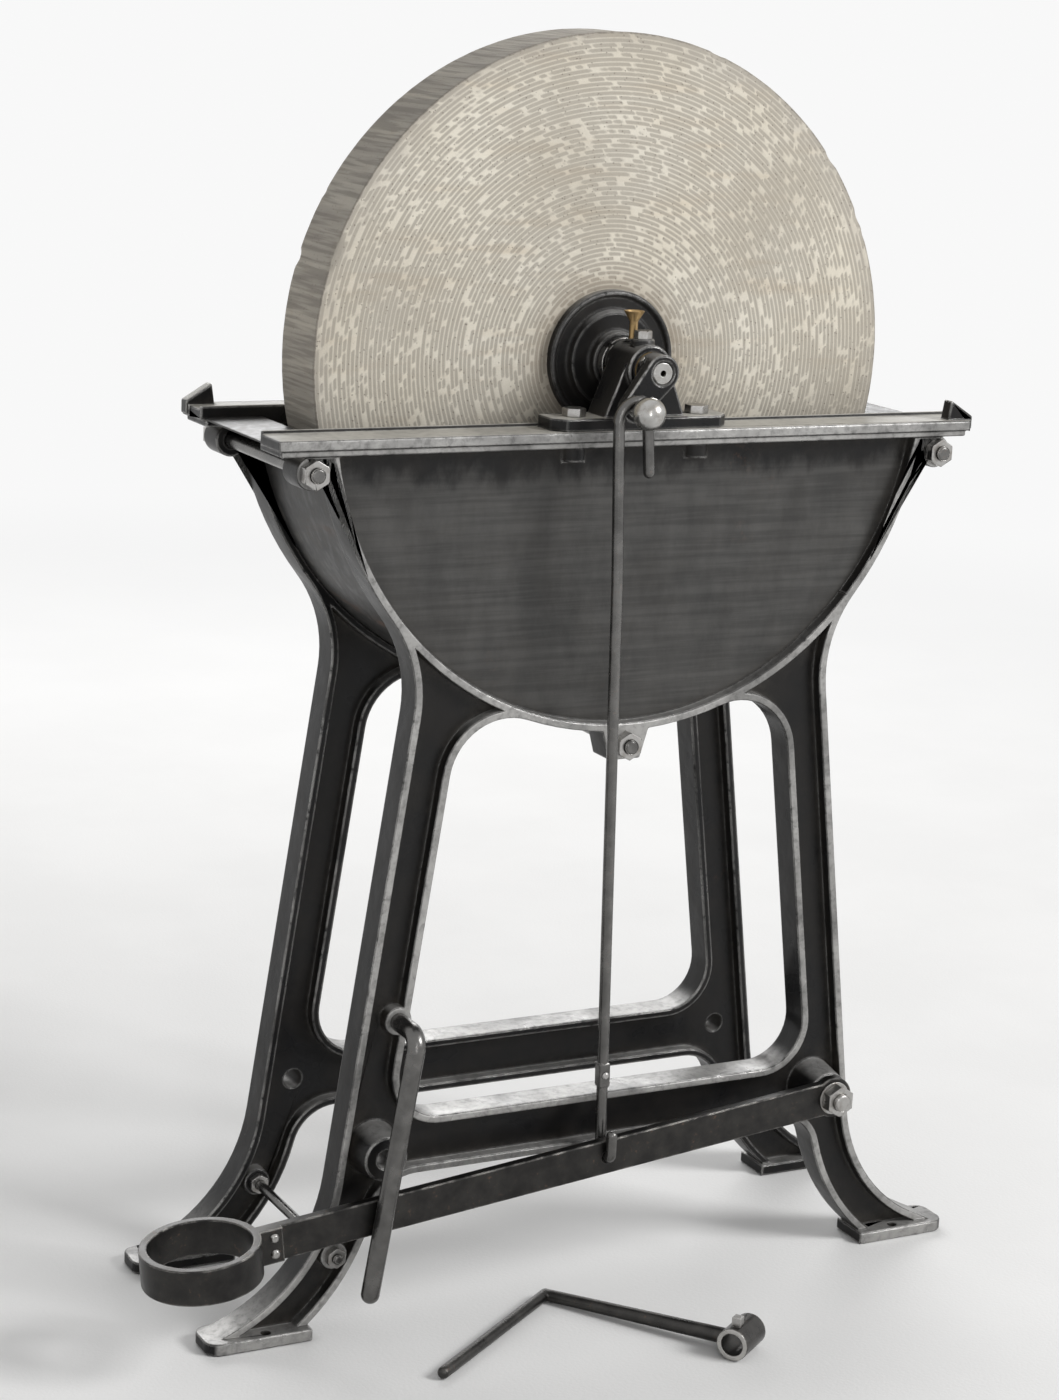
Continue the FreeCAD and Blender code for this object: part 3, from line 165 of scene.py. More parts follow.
class Finish:
    """A procedural material, put together layer by layer around one shader."""

    def __init__(self, name):
        self.material = bpy.data.materials.new(name)
        self.material.use_nodes = True
        self.tree = self.material.node_tree
        self.tree.nodes.clear()
        self.shader = self.add("ShaderNodeBsdfPrincipled")
        self.output = self.add("ShaderNodeOutputMaterial")
        self.feed(self.output.inputs[0], self.shader.outputs[0])
        self.place = self.add("ShaderNodeTexCoord").outputs["Object"]
        self.normal = self.add("ShaderNodeNewGeometry").outputs["Normal"]

    def add(self, kind, **settings):
        node = self.tree.nodes.new(kind)
        for name, value in settings.items():
            setattr(node, name, value)
        return node

    def feed(self, socket, value):
        """Links an output to the socket, or writes a plain value into it."""
        if isinstance(value, bpy.types.NodeSocket):
            self.tree.links.new(value, socket)
        elif socket.type == "RGBA":
            socket.default_value = (*value, 1.0)
        else:
            socket.default_value = value

    def shade(self, **values):
        """Feeds the shader's inputs, named with _ for each space."""
        for name, value in values.items():
            self.feed(self.shader.inputs[name.replace("_", " ")], value)

    def math(self, operation, first, second=0.0):
        node = self.add("ShaderNodeMath", operation=operation)
        self.feed(node.inputs[0], first)
        self.feed(node.inputs[1], second)
        return node.outputs[0]

    def times(self, first, *others):
        for other in others:
            first = self.math("MULTIPLY", first, other)
        return first

    def plus(self, first, *others):
        for other in others:
            first = self.math("ADD", first, other)
        return first

    def vector_math(self, operation, first, second=None):
        node = self.add("ShaderNodeVectorMath", operation=operation)
        self.feed(node.inputs[0], first)
        if second is not None:
            self.feed(node.inputs[1], second)
        return node.outputs["Value" if operation in ("DOT_PRODUCT", "LENGTH") else "Vector"]

    def axis(self, letter, vector=None):
        """One coordinate of the vector, or of the place."""
        node = self.add("ShaderNodeSeparateXYZ")
        self.feed(node.inputs[0], vector or self.place)
        return node.outputs[letter]

    def mapped(self, scale, location=(0.0, 0.0, 0.0)):
        """The place, scaled along each axis and then moved."""
        node = self.add("ShaderNodeMapping")
        self.feed(node.inputs["Vector"], self.place)
        self.feed(node.inputs["Scale"], scale)
        self.feed(node.inputs["Location"], location)
        return node.outputs[0]

    def ease(self, value, low, high, to_low=0.0, to_high=1.0):
        """A smooth step: to_low where the value is low, and to_high where it is high."""
        node = self.add("ShaderNodeMapRange", interpolation_type="SMOOTHSTEP")
        for socket, number in zip(node.inputs[:5], (value, low, high, to_low, to_high)):
            self.feed(socket, number)
        return node.outputs[0]

    def mix(self, share, first, second):
        node = self.add("ShaderNodeMix", data_type="RGBA")
        self.feed(node.inputs[0], share)
        self.feed(node.inputs[6], first)
        self.feed(node.inputs[7], second)
        return node.outputs[2]

    def layered(self, colour, *layers):
        """The colour with layers over it, each given as the share that it covers and its colour."""
        for share, layer in layers:
            colour = self.mix(share, colour, layer)
        return colour

    def noise(self, scale, detail=3.0, roughness=0.5, offset=0.0, stretch=None):
        """Cloudy noise; each offset is another pattern, and stretch scales it along each axis."""
        node = self.add("ShaderNodeTexNoise", noise_dimensions="4D")
        self.feed(node.inputs["Vector"], self.mapped(stretch) if stretch else self.place)
        self.feed(node.inputs["W"], offset)
        self.feed(node.inputs["Scale"], scale)
        self.feed(node.inputs["Detail"], detail)
        self.feed(node.inputs["Roughness"], roughness)
        return node.outputs["Fac"]

    def pits(self, scale):
        """Distance to the nearest of many scattered points."""
        node = self.add("ShaderNodeTexVoronoi")
        self.feed(node.inputs["Vector"], self.place)
        self.feed(node.inputs["Scale"], scale)
        return node.outputs["Distance"]

    def bump(self, height, depth, normal=None):
        """The normal tilted by a height map that is this deep."""
        node = self.add("ShaderNodeBump")
        self.feed(node.inputs["Distance"], depth)
        self.feed(node.inputs["Height"], height)
        if normal is not None:
            self.feed(node.inputs["Normal"], normal)
        return node.outputs[0]

    def rounded(self, radius):
        """Normals as if every edge were rounded to this radius."""
        node = self.add("ShaderNodeBevel", samples=4)
        self.feed(node.inputs["Radius"], radius)
        return node.outputs[0]

    def near_edge(self, rounded):
        """1 on an edge, and 0 where the surface runs on flat."""
        return self.ease(self.vector_math("DOT_PRODUCT", rounded, self.normal), 0.998, 0.9)

    def openness(self, distance):
        """1 on an open surface, and less in a corner or hollow."""
        node = self.add("ShaderNodeAmbientOcclusion", samples=4, only_local=True)
        self.feed(node.inputs["Distance"], distance)
        return node.outputs["AO"]

    def turned_face(self, centre, direction, radius):
        """1 on the flat ends of a round boss."""
        along = self.vector_math("DOT_PRODUCT", self.normal, direction)
        flat = self.ease(self.math("ABSOLUTE", along), 0.95, 0.985)
        away = self.vector_math("SUBTRACT", self.place, centre)
        aside = self.vector_math("CROSS_PRODUCT", away, direction)
        offset = self.vector_math("LENGTH", aside)
        return self.times(flat, self.ease(offset, radius + 0.0006, radius))

    def from_axis(self, height):
        """How far a point is from the line along Y at this height."""
        return self.vector_math("LENGTH", self.mapped((1.0, 0.0, 1.0), (0.0, 0.0, -height)))


def japanned_iron(name, black, brown, edge_radius, wear):
    """Stoved black paint on cast iron: lumpy, dusty in corners, worn on open edges, with painted
    highlights on its flange faces and tops and painted light on its panels.
    """
    finish = Finish(name)
    rounded = finish.rounded(edge_radius)
    open_air = finish.openness(0.022)
    waves = finish.noise(26, detail=2.0)
    skin = finish.noise(300, detail=4.0, roughness=0.6)
    blotch = finish.noise(13, detail=5.0, roughness=0.6, offset=3.0)
    speck = finish.noise(120, detail=4.0, roughness=0.7, offset=5.0)
    height = finish.axis("Z")
    depth = finish.math("ABSOLUTE", finish.axis("Y"))
    up = finish.ease(finish.axis("Z", finish.normal), 0.6, 0.95)
    sideways = finish.math("ABSOLUTE", finish.axis("Y", finish.normal))
    sideways = finish.ease(sideways, 0.8, 0.98)

    # Painted highlight on the flanges' outer faces and on tops, partly paint rubbed down there, and
    # paint rubbed down on open edges
    highlight_and_rubbing = finish.times(
        finish.ease(depth, frame_face_y - 0.0012, frame_face_y - 0.0004),
        sideways,
        finish.ease(height, rail_top_z + 0.001, rail_top_z),
        finish.ease(depth, rail_front_y + 0.0005, rail_front_y - 0.0005),
    )
    highlight_and_rubbing = finish.times(
        finish.math("MAXIMUM", highlight_and_rubbing, finish.times(up, 0.8)),
        finish.ease(blotch, 0.3, 0.6, 0.45, 1.0),
        finish.ease(speck, 0.25, 0.6, 0.5, 1.0),
    )
    rubbed = finish.times(
        finish.near_edge(rounded),
        finish.ease(open_air, 0.7, 0.95),
        finish.ease(blotch, 0.36, 0.56, 0.35, 1.0),
        finish.ease(speck, 0.3, 0.5),
        wear,
    )
    wear_and_highlight = finish.math("MAXIMUM", rubbed, finish.times(highlight_and_rubbing, 0.58))

    # Painted light on the half-round panels, partly dried slurry with tide marks, fading to a
    # painted shadow band under the rail
    splash = finish.noise(20, detail=6.0, roughness=0.62, offset=8.0, stretch=(1.3, 1.0, 0.6))
    tide = finish.noise(52, detail=4.0, roughness=0.6, offset=6.0, stretch=(0.12, 1.0, 3.0))
    ragged = finish.plus(height, finish.ease(splash, 0.3, 0.7, -0.012, 0.012))
    slurry_and_panel_light = finish.times(
        finish.ease(finish.from_axis(rib_centre_z), rib_radius, rib_radius - 0.004),
        sideways,
        finish.ease(depth, panel_y + 0.001, panel_y - 0.001),
        finish.ease(ragged, painted_rail_shadow_z, slurry_and_light_full_z),
        finish.ease(splash, 0.3, 0.7, 0.62, 1.0),
        finish.ease(tide, 0.36, 0.62, 0.68, 1.0),
    )

    # Painted highlight on the top rails' upper faces, partly splashed slurry
    splash_and_rail_highlight = finish.times(
        up,
        finish.ease(height, rail_top_z - 0.03, rail_top_z - 0.02),
        finish.ease(height, rail_top_z + 0.03, rail_top_z + 0.02),
        finish.ease(blotch, 0.3, 0.62, 0.5, 0.85),
        finish.ease(speck, 0.25, 0.6, 0.7, 1.0),
    )
    dust = finish.times(
        finish.ease(open_air, 0.86, 0.35), 0.5, finish.ease(speck, 0.3, 0.7, 0.35, 1.0)
    )
    rust = finish.times(finish.ease(blotch, 0.6, 0.74), finish.ease(speck, 0.5, 0.64), 0.45)

    # Colour layers: the slurry layer is partly painted light, the splash layer partly painted
    # highlight, the worn layer partly painted highlight
    colour = finish.layered(
        finish.mix(finish.ease(waves, 0.35, 0.65), black, brown),
        (rust, (0.07, 0.036, 0.022)),
        (finish.times(slurry_and_panel_light, 0.5), (0.145, 0.142, 0.135)),
        (dust, (0.1, 0.09, 0.076)),
        (wear_and_highlight, (0.66, 0.65, 0.63)),
        (splash_and_rail_highlight, (0.56, 0.54, 0.49)),
    )
    gloss = finish.plus(
        finish.ease(waves, 0.3, 0.7, 0.26, 0.36),
        finish.times(dust, 0.5),
        finish.times(slurry_and_panel_light, 0.16),
        finish.times(splash_and_rail_highlight, 0.4),
    )
    # Metallic where paint is worn and where the highlight is painted
    bare_and_highlight = finish.times(wear_and_highlight, 0.85, finish.math("SUBTRACT", 1.0, splash_and_rail_highlight))
    surface = finish.bump(skin, 0.00014, finish.bump(waves, 0.0014, rounded))
    finish.shade(Base_Color=colour, Roughness=gloss, Metallic=bare_and_highlight, Normal=surface)
    finish.shade(Specular_IOR_Level=0.2)
    return finish.material


def painted_sheet(name):
    """Black painted sheet iron, with the long streaks that water splashes leave."""
    finish = Finish(name)
    rounded = finish.rounded(0.0012)
    streaks = finish.noise(9, detail=5.0, roughness=0.6, stretch=(0.7, 1.0, 5.0))
    drips = finish.noise(26, detail=4.0, roughness=0.6, offset=2.0, stretch=(4.0, 4.0, 0.35))
    dents = finish.noise(11, detail=1.0, offset=7.0)
    grain = finish.noise(420, detail=3.0)
    low = finish.ease(finish.axis("Z"), 0.84, 0.66)

    stain = finish.times(finish.ease(drips, 0.5, 0.72), 0.6)
    rust = finish.times(finish.ease(streaks, 0.56, 0.74), finish.plus(low, 0.25), 0.55)
    colour = finish.layered(
        finish.mix(finish.ease(streaks, 0.3, 0.7), (0.02, 0.02, 0.02), (0.042, 0.04, 0.038)),
        (stain, (0.12, 0.112, 0.1)),
        (rust, (0.12, 0.055, 0.028)),
    )
    gloss = finish.plus(finish.ease(drips, 0.3, 0.7, 0.34, 0.5), finish.times(rust, 0.3))
    surface = finish.bump(grain, 0.00006, finish.bump(dents, 0.004, rounded))
    finish.shade(Base_Color=colour, Roughness=gloss, Metallic=0.12, Normal=surface)
    finish.shade(Specular_IOR_Level=0.3)
    return finish.material


def forged_iron(name, dark, light, shine, edge_radius=0.0014, boss=None):
    """Forged iron: mill scale and hammered flats, bright on its edges and on a turned boss."""
    finish = Finish(name)
    rounded = finish.rounded(edge_radius)
    open_air = finish.openness(0.012)
    scale = finish.noise(48, detail=5.0, roughness=0.55)
    flats = finish.noise(24, detail=1.0, offset=4.0)
    grain = finish.noise(520, detail=3.0, roughness=0.6)
    spots = finish.noise(240, detail=4.0, roughness=0.7, offset=9.0)

    bright = finish.times(
        finish.near_edge(rounded),
        finish.ease(open_air, 0.7, 0.95),
        finish.ease(scale, 0.4, 0.6),
        0.8,
    )
    rust = finish.times(finish.ease(spots, 0.56, 0.68), finish.ease(scale, 0.45, 0.65), 0.35)
    colour = finish.layered(
        finish.mix(finish.ease(scale, 0.22, 0.78), dark, light),
        (rust, (0.17, 0.08, 0.042)),
        (finish.times(finish.ease(open_air, 0.8, 0.3), 0.6), (0.05, 0.043, 0.036)),
        (bright, (0.56, 0.54, 0.51)),
    )
    if boss:
        faced = finish.times(finish.turned_face(**boss), finish.ease(scale, 0.3, 0.6, 0.75, 1.0))
        colour = finish.mix(faced, colour, (0.5, 0.49, 0.47))
    gloss = finish.plus(finish.ease(scale, 0.3, 0.7, shine, shine + 0.14), finish.times(rust, 0.3))
    gloss = finish.math("SUBTRACT", gloss, finish.times(bright, 0.08))
    metal = finish.math("SUBTRACT", 0.92, rust)
    surface = finish.bump(grain, 0.0001, finish.bump(flats, 0.0012, rounded))
    finish.shade(Base_Color=colour, Roughness=gloss, Metallic=metal, Normal=surface)
    return finish.material


def machined_metal(name, clean, stained, shine, edge_radius=0.0007):
    """Turned or cut metal: fine tool marks, oil in the corners and a faint stain."""
    finish = Finish(name)
    marks = finish.noise(900, detail=2.0, stretch=(1.0, 0.08, 1.0))
    film = finish.noise(85, detail=5.0, roughness=0.65)
    oil = finish.times(finish.ease(finish.openness(0.006), 0.85, 0.35), 0.75)
    colour = finish.layered(
        clean,
        (finish.times(finish.ease(film, 0.45, 0.7), 0.75), stained),
        (oil, (0.045, 0.036, 0.027)),
    )
    gloss = finish.plus(
        finish.ease(film, 0.35, 0.7, shine, shine + 0.16), finish.times(marks, 0.08)
    )
    surface = finish.bump(marks, 0.00003, finish.rounded(edge_radius))
    finish.shade(Base_Color=colour, Roughness=gloss, Metallic=1.0, Normal=surface)
    return finish.material


def grinding_stone(name):
    """Pale sandstone: sharp grain, faint bedding, grit in its turned grooves, a chiselled rim."""
    finish = Finish(name)
    grain = finish.noise(1500, detail=3.0, roughness=0.7)
    cloud = finish.noise(9, detail=4.0, roughness=0.55)
    bedding = finish.noise(6, detail=5.0, roughness=0.6, offset=2.0, stretch=(1.2, 5.0, 9.0))
    across = finish.noise(55, detail=4.0, roughness=0.6, stretch=(1.0, 0.06, 1.0))
    chisel = finish.noise(230, detail=2.0, offset=5.0, stretch=(1.0, 0.05, 1.0))
    pit = finish.ease(finish.pits(210), 0.2, 0.06)
    radius = finish.from_axis(spindle_z)
    side = finish.math("ABSOLUTE", finish.axis("Y"))

    face = stone_half_thickness
    on_face = finish.ease(side, face - 0.003, face - 0.0015)
    sunk = finish.ease(side, face - 0.00004, face - groove_depth * 0.8)
    on_rim = finish.ease(radius, stone_radius - stone_edge_radius, stone_radius - 0.0014)
    wet_rim = finish.ease(radius, stone_radius - 0.026, stone_radius - 0.004)
    greasy_hub = finish.times(
        finish.ease(radius, 0.098, 0.064), finish.ease(cloud, 0.3, 0.7, 0.5, 1.0)
    )

    colour = finish.layered(
        finish.mix(finish.ease(cloud, 0.3, 0.7), (0.66, 0.61, 0.51), (0.74, 0.7, 0.61)),
        (finish.times(finish.ease(bedding, 0.5, 0.75), 0.45), (0.55, 0.44, 0.31)),
        (finish.times(finish.ease(grain, 0.42, 0.66), 0.35), (0.42, 0.37, 0.3)),
        (finish.times(sunk, on_face, 0.62), (0.25, 0.225, 0.19)),
        (finish.times(wet_rim, finish.ease(across, 0.3, 0.7, 0.12, 0.5)), (0.36, 0.33, 0.29)),
        (finish.times(on_rim, finish.ease(across, 0.3, 0.62, 0.35, 0.75)), (0.34, 0.31, 0.27)),
        (finish.times(on_rim, finish.ease(chisel, 0.44, 0.6), 0.5), (0.19, 0.172, 0.148)),
        (finish.times(greasy_hub, 0.45), (0.2, 0.15, 0.1)),
        (finish.times(pit, 0.6), (0.22, 0.19, 0.16)),
    )
    surface = finish.bump(grain, 0.0003)
    surface = finish.bump(finish.math("SUBTRACT", 1.0, pit), 0.0005, surface)
    surface = finish.bump(across, 0.0009, surface)
    surface = finish.bump(finish.times(chisel, on_rim), 0.0008, surface)
    gloss = finish.ease(grain, 0.2, 0.8, 0.82, 0.95)
    finish.shade(Base_Color=colour, Roughness=gloss, Normal=surface, Specular_IOR_Level=0.3)
    return finish.material


def packing_wood(name):
    """End grain and long grain of a soaked hardwood ring."""
    finish = Finish(name)
    rings = finish.noise(60, detail=4.0, roughness=0.6, stretch=(1.0, 0.15, 1.0))
    pores = finish.noise(700, detail=2.0, offset=3.0, stretch=(1.0, 0.1, 1.0))
    colour = finish.layered(
        finish.mix(finish.ease(rings, 0.35, 0.65), (0.2, 0.12, 0.06), (0.36, 0.24, 0.13)),
        (finish.times(finish.ease(pores, 0.5, 0.7), 0.5), (0.08, 0.045, 0.025)),
    )
    gloss = finish.ease(pores, 0.3, 0.7, 0.6, 0.8)
    finish.shade(Base_Color=colour, Roughness=gloss, Normal=finish.bump(rings, 0.0004))
    return finish.material


def make_finishes():
    """A finish for each material slot of the record, and the loose crank's own."""
    return {
        "black_cast_iron": japanned_iron(
            "black_cast_iron_look",
            black=(0.0075, 0.0075, 0.008),
            brown=(0.012, 0.011, 0.0105),
            edge_radius=0.003,
            wear=0.95,
        ),
        "black_sheet_iron": painted_sheet("black_sheet_iron_look"),
        "iron_rods": forged_iron(
            "iron_rods_look", dark=(0.095, 0.093, 0.09), light=(0.18, 0.176, 0.17), shine=0.17
        ),
        "wrought_iron_bar": forged_iron(
            "wrought_iron_bar_look",
            dark=(0.028, 0.027, 0.027),
            light=(0.052, 0.05, 0.047),
            shine=0.3,
            edge_radius=0.0024,
        ),
        "hand_crank": forged_iron(
            "hand_crank_look",
            dark=(0.035, 0.034, 0.033),
            light=(0.075, 0.072, 0.068),
            shine=0.24,
            edge_radius=0.0024,
            boss=crank_hub,
        ),
        "steel_fasteners": machined_metal(
            "steel_fasteners_look", clean=(0.4, 0.392, 0.38), stained=(0.2, 0.18, 0.16), shine=0.22
        ),
        "bright_steel": machined_metal(
            "bright_steel_look",
            clean=(0.44, 0.435, 0.42),
            stained=(0.26, 0.24, 0.215),
            shine=0.12,
            edge_radius=0.0005,
        ),
        "bronze": machined_metal(
            "bronze_look",
            clean=(0.42, 0.29, 0.14),
            stained=(0.2, 0.14, 0.075),
            shine=0.3,
            edge_radius=0.0005,
        ),
        "sandstone": grinding_stone("sandstone_look"),
        "packing_wood": packing_wood("packing_wood_look"),
    }


def round_edges(node, width):
    """Takes the hard edge off a node, as casting, forging or a file leaves it."""
    weld = node.modifiers.new("joined", "WELD")
    weld.merge_threshold = same_point_distance
    flat = node.modifiers.new("flat_faces", "DECIMATE")
    flat.decimate_type = "DISSOLVE"
    flat.angle_limit = flat_angle
    bevel = node.modifiers.new("round_edges", "BEVEL")
    bevel.width = width
    bevel.segments = 2
    bevel.limit_method = "ANGLE"
    bevel.angle_limit = sharp_angle
    bevel.use_clamp_overlap = False
    node.modifiers.new("even_shading", "WEIGHTED_NORMAL")


def dress_nodes(finishes):
    """Gives each node its own finish or its material's, and rounds all but the hidden stone."""
    for name, node in frame["nodes"].items():
        for place in node.material_slots:
            place.material = finishes.get(name, finishes[place.material.name])
        if name != "grindstone":
            round_edges(node, edge_rounds.get(name, edge_round))


def mesh_piece(name, points, faces, slot, body, finishes):
    """A closed mesh of the object, with its finish, that moves with a body."""
    mesh = bpy.data.meshes.new(name)
    mesh.from_pydata(points, [], faces)
    mesh.validate()
    mesh.polygons.foreach_set("use_smooth", [True] * len(mesh.polygons))
    mesh.materials.append(finishes[slot])
    piece = bpy.data.objects.new(name, mesh)
    bpy.context.scene.collection.objects.link(piece)
    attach(piece, body)
    return piece


def ring_faces(rows, columns):
    """Quads between rings of points, with the last ring joined to the first."""
    faces = []
    for row in range(rows):
        here = row * columns
        after = (row + 1) % rows * columns
        for column in range(columns):
            beside = (column + 1) % columns
            faces.append((here + column, after + column, after + beside, here + beside))
    return faces


def stone_section():
    """The stone's outline as (radius, y, sunk), from the front of its bore round to the rear."""
    front = []
    step = groove_pitch / 2
    steps = int((stone_radius - rim_zone - stone_bore_radius) / step)
    for row in range(steps + 1):
        front.append((stone_bore_radius + row * step, -stone_half_thickness, row % 2))
    edge = stone_edge_radius
    for turn in (0.25, 0.5, 0.75):
        angle = turn * math.pi / 2
        radius = stone_radius - edge + edge * math.sin(angle)
        front.append((radius, -(stone_half_thickness - edge + edge * math.cos(angle)), 0))
    rim = []
    reach = stone_half_thickness - edge
    for row in range(stone_rim_rows + 1):
        rim.append((stone_radius, -reach + 2 * reach * row / stone_rim_rows, 0))
    rear = [(radius, -y, sunk) for radius, y, sunk in reversed(front)]
    return front + rim + rear


def chip_places():
    """Where small chips have broken off the stone's edges: angle, side, size and depth."""
    chance = random.Random(chip_seed)
    chips = []
    for _ in range(chip_count):
        angle = chance.uniform(0, 2 * math.pi)
        side = chance.choice((-1, 1))
        size = chance.uniform(*chip_sizes)
        chips.append((angle, side, size, size * chance.uniform(*chip_depth_shares)))
    return chips


def chipped(radius, y, angle, chips):
    """The point moved inwards where a chip has gone."""
    for at, side, size, depth in chips:
        if side * y < stone_half_thickness - size:
            continue
        around = (angle - at + math.pi) % (2 * math.pi) - math.pi
        apart = math.hypot(
            around * stone_radius / chip_stretch,
            radius - stone_radius,
            abs(y) - stone_half_thickness,
        )
        if apart < size:
            share = 1 - (apart / size) ** 2
            radius -= depth * share
            y -= side * depth * share
    return radius, y


def face_depth(radius, y, angle, sunk):
    """How deep a point of the stone's flat face lies, in a groove or on the face's slow waves."""
    patch = (angle * radius / groove_patch_length, radius / groove_patch_width, 7 + y * 300)
    held = min(1.0, max(0.0, noise.noise(Vector(patch)) * groove_contrast + groove_share))
    place = (math.cos(angle) * radius * 9, 4 + y, math.sin(angle) * radius * 9)
    wave = noise.noise(Vector(place))
    return groove_depth * sunk * held + face_wave_depth * (1 + wave) / 2


def worn_radius(radius, y, angle):
    """The radius of the stone's rim, hollowed by use and slightly ridged."""
    ridge = noise.noise(Vector((math.cos(angle) * 36, math.sin(angle) * 36, y * 12)))
    hollow = 1 - (y / stone_half_thickness) ** 2
    return radius - rim_hollow_depth * hollow - rim_ridge_depth * (1 + ridge) / 2


def stone_point(radius, y, sunk, angle, chips):
    """A point of the stone's outline turned to this angle, with grooves, wear and chips."""
    depth = 0.0
    worn = radius
    if abs(abs(y) - stone_half_thickness) < 1e-6:
        depth = face_depth(radius, y, angle, sunk)
    elif radius > stone_radius - rim_zone:
        worn = worn_radius(radius, y, angle)
    moved = y
    if radius > stone_radius - chip_zone:
        worn, moved = chipped(worn, y, angle, chips)
    moved -= math.copysign(depth, y)
    return (worn * math.cos(angle), moved, spindle_z + worn * math.sin(angle))


def dressed_stone(finishes):
    """The grindstone, with turned grooves on its faces, a dressed rim and chipped edges."""
    chips = chip_places()
    section = stone_section()
    points = []
    for radius, y, sunk in section:
        for column in range(stone_segments):
            angle = 2 * math.pi * column / stone_segments
            points.append(stone_point(radius, y, sunk, angle, chips))
    faces = ring_faces(len(section), stone_segments)
    stone = mesh_piece("dressed_grindstone", points, faces, "sandstone", "stone_spindle", finishes)
    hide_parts("grindstone")


def screw_thread(name, end, outwards, radius, length, pitch, slot, finishes):
    """A cut thread round a plain rod; end is the middle of the thread's outer end."""
    crest = radius + thread_crest
    root = radius + thread_root
    turn = Vector((0, 1, 0)).rotation_difference(Vector(outwards)).to_matrix()
    points = []

    def add_point(column, along, reach):
        angle = 2 * math.pi * column / thread_columns
        local = Vector((reach * math.cos(angle), along - length, reach * math.sin(angle)))
        points.append(Vector(end) + turn @ local)

    rows = int(length / pitch * thread_rows_per_turn)
    for row in range(rows + 1):
        along = length * row / rows
        fade = min(1.0, along / (pitch * 0.6), (length - along) / (pitch * 0.4))
        for column in range(thread_columns):
            wave = abs(((along / pitch - column / thread_columns) % 1.0) * 2 - 1)
            add_point(column, along, root + (crest - root) * (1 - wave) * max(0.0, fade))
    for along in (length, 0.0):
        for column in range(thread_columns):
            add_point(column, along, radius - thread_inside)
    faces = ring_faces(rows + 3, thread_columns)
    mesh_piece(name, points, faces, slot, "frame", finishes)


def make_threads(finishes):
    """Threads at both ends of the tie rods and the brace rod, and past the treadle pivot's nut."""
    for rod, nut_face, pitch in threaded_rods:
        low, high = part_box(rod)
        middle = (low + high) / 2
        radius = (high.x - low.x) / 2
        length = high.y - nut_face - thread_gaps
        for side, word in ((-1, "front"), (1, "rear")):
            name = f"{rod}_{word}_thread"
            end = (middle.x, side * (high.y - thread_end_gap), middle.z)
            screw_thread(name, end, (0, side, 0), radius, length, pitch, "iron_rods", finishes)
    bolt_low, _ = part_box("treadle_pivot_bolt")
    nut_low, nut_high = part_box("treadle_pivot_nut")
    middle = (nut_low + nut_high) / 2
    screw_thread(
        "treadle_pivot_thread",
        end=(middle.x, bolt_low.y + thread_end_gap, middle.z),
        outwards=(0, -1, 0),
        radius=pivot_bolt_radius,
        length=nut_low.y - bolt_low.y - thread_gaps,
        pitch=pivot_thread_pitch,
        slot="steel_fasteners",
        finishes=finishes,
    )


def soft_light(name, place, target, width, height, power):
    """A rectangular lamp at its place, turned to the target; sizes in metres, power in watts."""
    lamp = bpy.data.lights.new(name, "AREA")
    lamp.shape = "RECTANGLE"
    lamp.size = width
    lamp.size_y = height
    lamp.energy = power
    holder = bpy.data.objects.new(name, lamp)
    holder.location = place
    holder.rotation_euler = (Vector(target) - Vector(place)).to_track_quat("-Z", "Y").to_euler()
    holder.visible_camera = False
    bpy.context.scene.collection.objects.link(holder)


def make_lights():
    """Two soft lamps in front and behind, and a strip that draws a bright line on the rods."""
    soft_light("key_light", (2.7, -2.7, 2.9), (0.0, 0.0, 0.6), 1.5, 1.5, 135)
    soft_light("back_light", (0.9, 3.4, 2.3), (0.0, 0.0, 0.8), 3.4, 1.6, 80)
    soft_light("front_light", (-1.2, -3.6, 1.5), (0.0, 0.0, 0.5), 0.28, 2.0, 15)


def make_world():
    """A pale even sky: white to the eye and to polished metal, softer as a light."""
    world = bpy.data.worlds.new("studio")
    bpy.context.scene.world = world
    world.use_nodes = True
    tree = world.node_tree
    tree.nodes.clear()
    rays = tree.nodes.new("ShaderNodeLightPath")
    seen = rays.outputs["Is Camera Ray"]
    for name in ("Is Glossy Ray", "Is Transmission Ray"):
        either = tree.nodes.new("ShaderNodeMath")
        either.operation = "MAXIMUM"
        tree.links.new(seen, either.inputs[0])
        tree.links.new(rays.outputs[name], either.inputs[1])
        seen = either.outputs[0]
    strength = tree.nodes.new("ShaderNodeMix")
    strength.data_type = "FLOAT"
    tree.links.new(seen, strength.inputs[0])
    strength.inputs[2].default_value = sky_light
    strength.inputs[3].default_value = background_white
    sky = tree.nodes.new("ShaderNodeBackground")
    sky.inputs["Color"].default_value = (1.0, 1.0, 1.0, 1.0)
    tree.links.new(strength.outputs[0], sky.inputs["Strength"])
    output = tree.nodes.new("ShaderNodeOutputWorld")
    tree.links.new(sky.outputs[0], output.inputs[0])


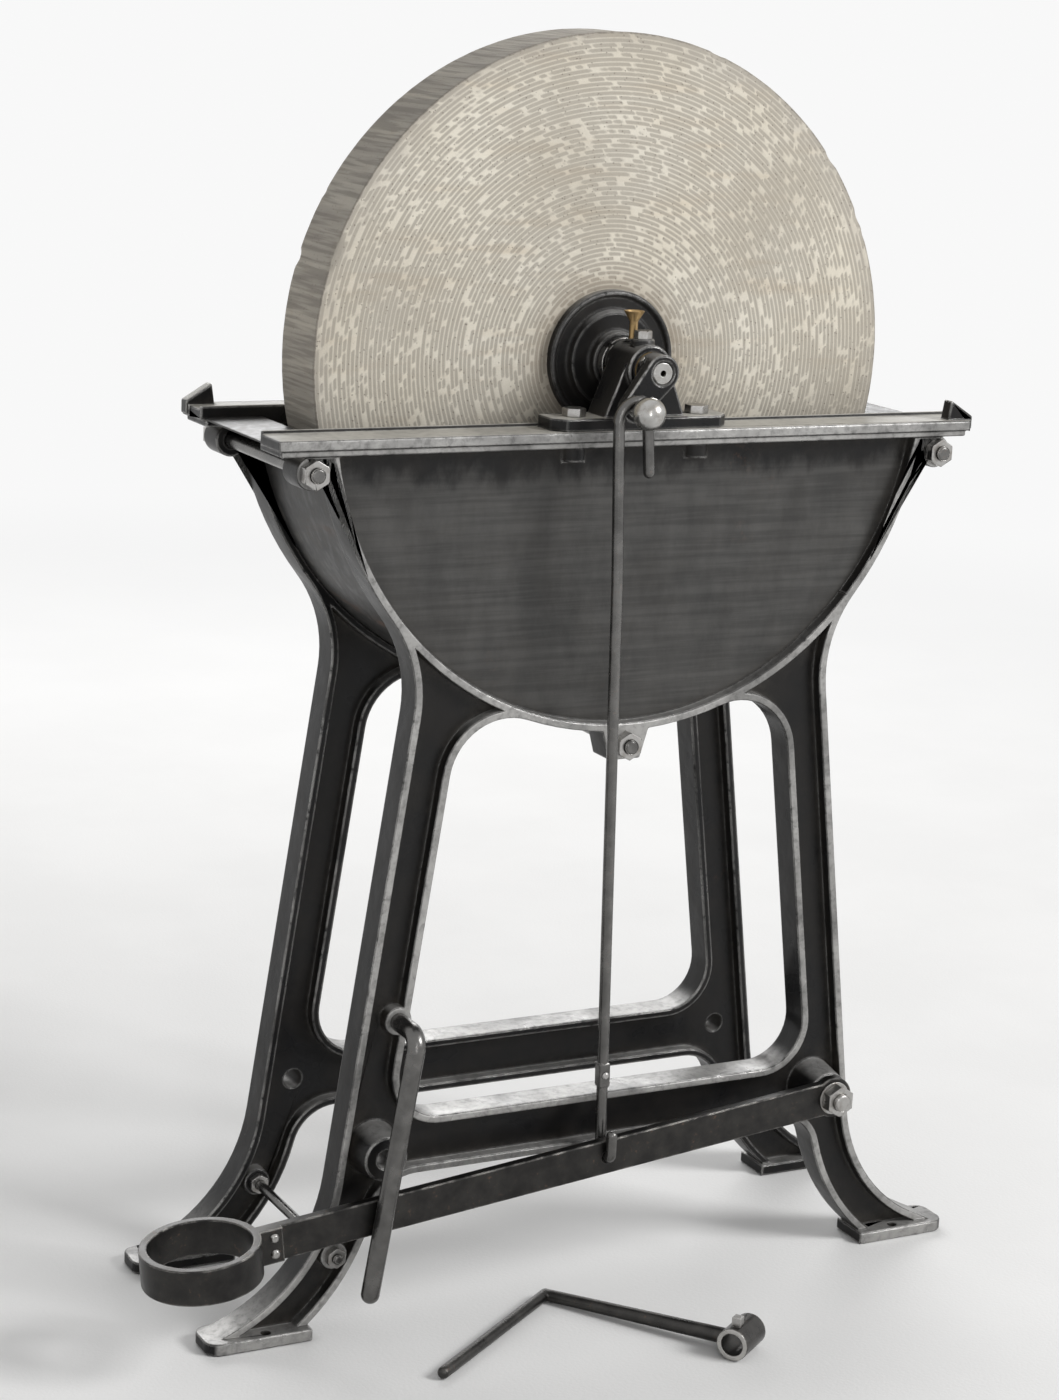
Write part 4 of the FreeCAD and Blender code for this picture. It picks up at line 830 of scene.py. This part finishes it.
def floor_finish():
    """Pale mottled floor near the machine, which turns into the white background further off."""
    finish = Finish("floor_look")
    far = finish.ease(finish.vector_math("LENGTH", finish.place), *floor_fade)
    mottle = finish.noise(3.0, detail=4.0, roughness=0.55)
    grain = finish.noise(260, detail=3.0)
    pale = finish.ease(mottle, 0.35, 0.65)
    colour = finish.mix(pale, (0.82, 0.817, 0.81), (0.85, 0.847, 0.84))
    surface = finish.bump(grain, 0.0003)
    finish.shade(Base_Color=colour, Roughness=0.85, Specular_IOR_Level=0.2, Normal=surface)
    glow = finish.add("ShaderNodeEmission")
    finish.feed(glow.inputs["Color"], (1.0, 1.0, 1.0))
    finish.feed(glow.inputs["Strength"], background_white)
    blend = finish.add("ShaderNodeMixShader")
    finish.feed(blend.inputs[0], far)
    finish.feed(blend.inputs[1], finish.shader.outputs[0])
    finish.feed(blend.inputs[2], glow.outputs[0])
    finish.feed(finish.output.inputs[0], blend.outputs[0])
    return finish.material


def make_floor():
    """A floor so wide that its far edge can't be told from the background."""
    half = floor_half_width
    corners = [(-half, -half), (half, -half), (half, half), (-half, half)]
    mesh = bpy.data.meshes.new("floor")
    mesh.from_pydata([(x, y, floor_z) for x, y in corners], [], [(0, 1, 2, 3)])
    mesh.materials.append(floor_finish())
    floor = bpy.data.objects.new("floor", mesh)
    bpy.context.scene.collection.objects.link(floor)


def make_camera():
    """The photograph's view."""
    ahead = Vector(
        (
            math.sin(camera_yaw) * math.cos(camera_pitch),
            math.cos(camera_yaw) * math.cos(camera_pitch),
            -math.sin(camera_pitch),
        )
    )
    level = Vector((math.cos(camera_yaw), -math.sin(camera_yaw), 0.0))
    above = level.cross(ahead)
    right = level * math.cos(camera_roll) + above * math.sin(camera_roll)
    up = above * math.cos(camera_roll) - level * math.sin(camera_roll)
    data = bpy.data.cameras.new("camera")
    data.lens = camera_lens
    data.sensor_width = 36.0
    data.clip_start = 0.05
    data.clip_end = 200.0
    camera = bpy.data.objects.new("camera", data)
    bpy.context.scene.collection.objects.link(camera)
    turn = Matrix((right, up, -ahead)).transposed().to_4x4()
    camera.matrix_world = Matrix.Translation(Vector(camera_place)) @ turn
    bpy.context.scene.camera = camera


bpy.context.scene.view_settings.view_transform = "Standard"
make_camera()
make_world()
make_lights()
make_floor()
finishes = make_finishes()
dress_nodes(finishes)
dressed_stone(finishes)
make_threads(finishes)
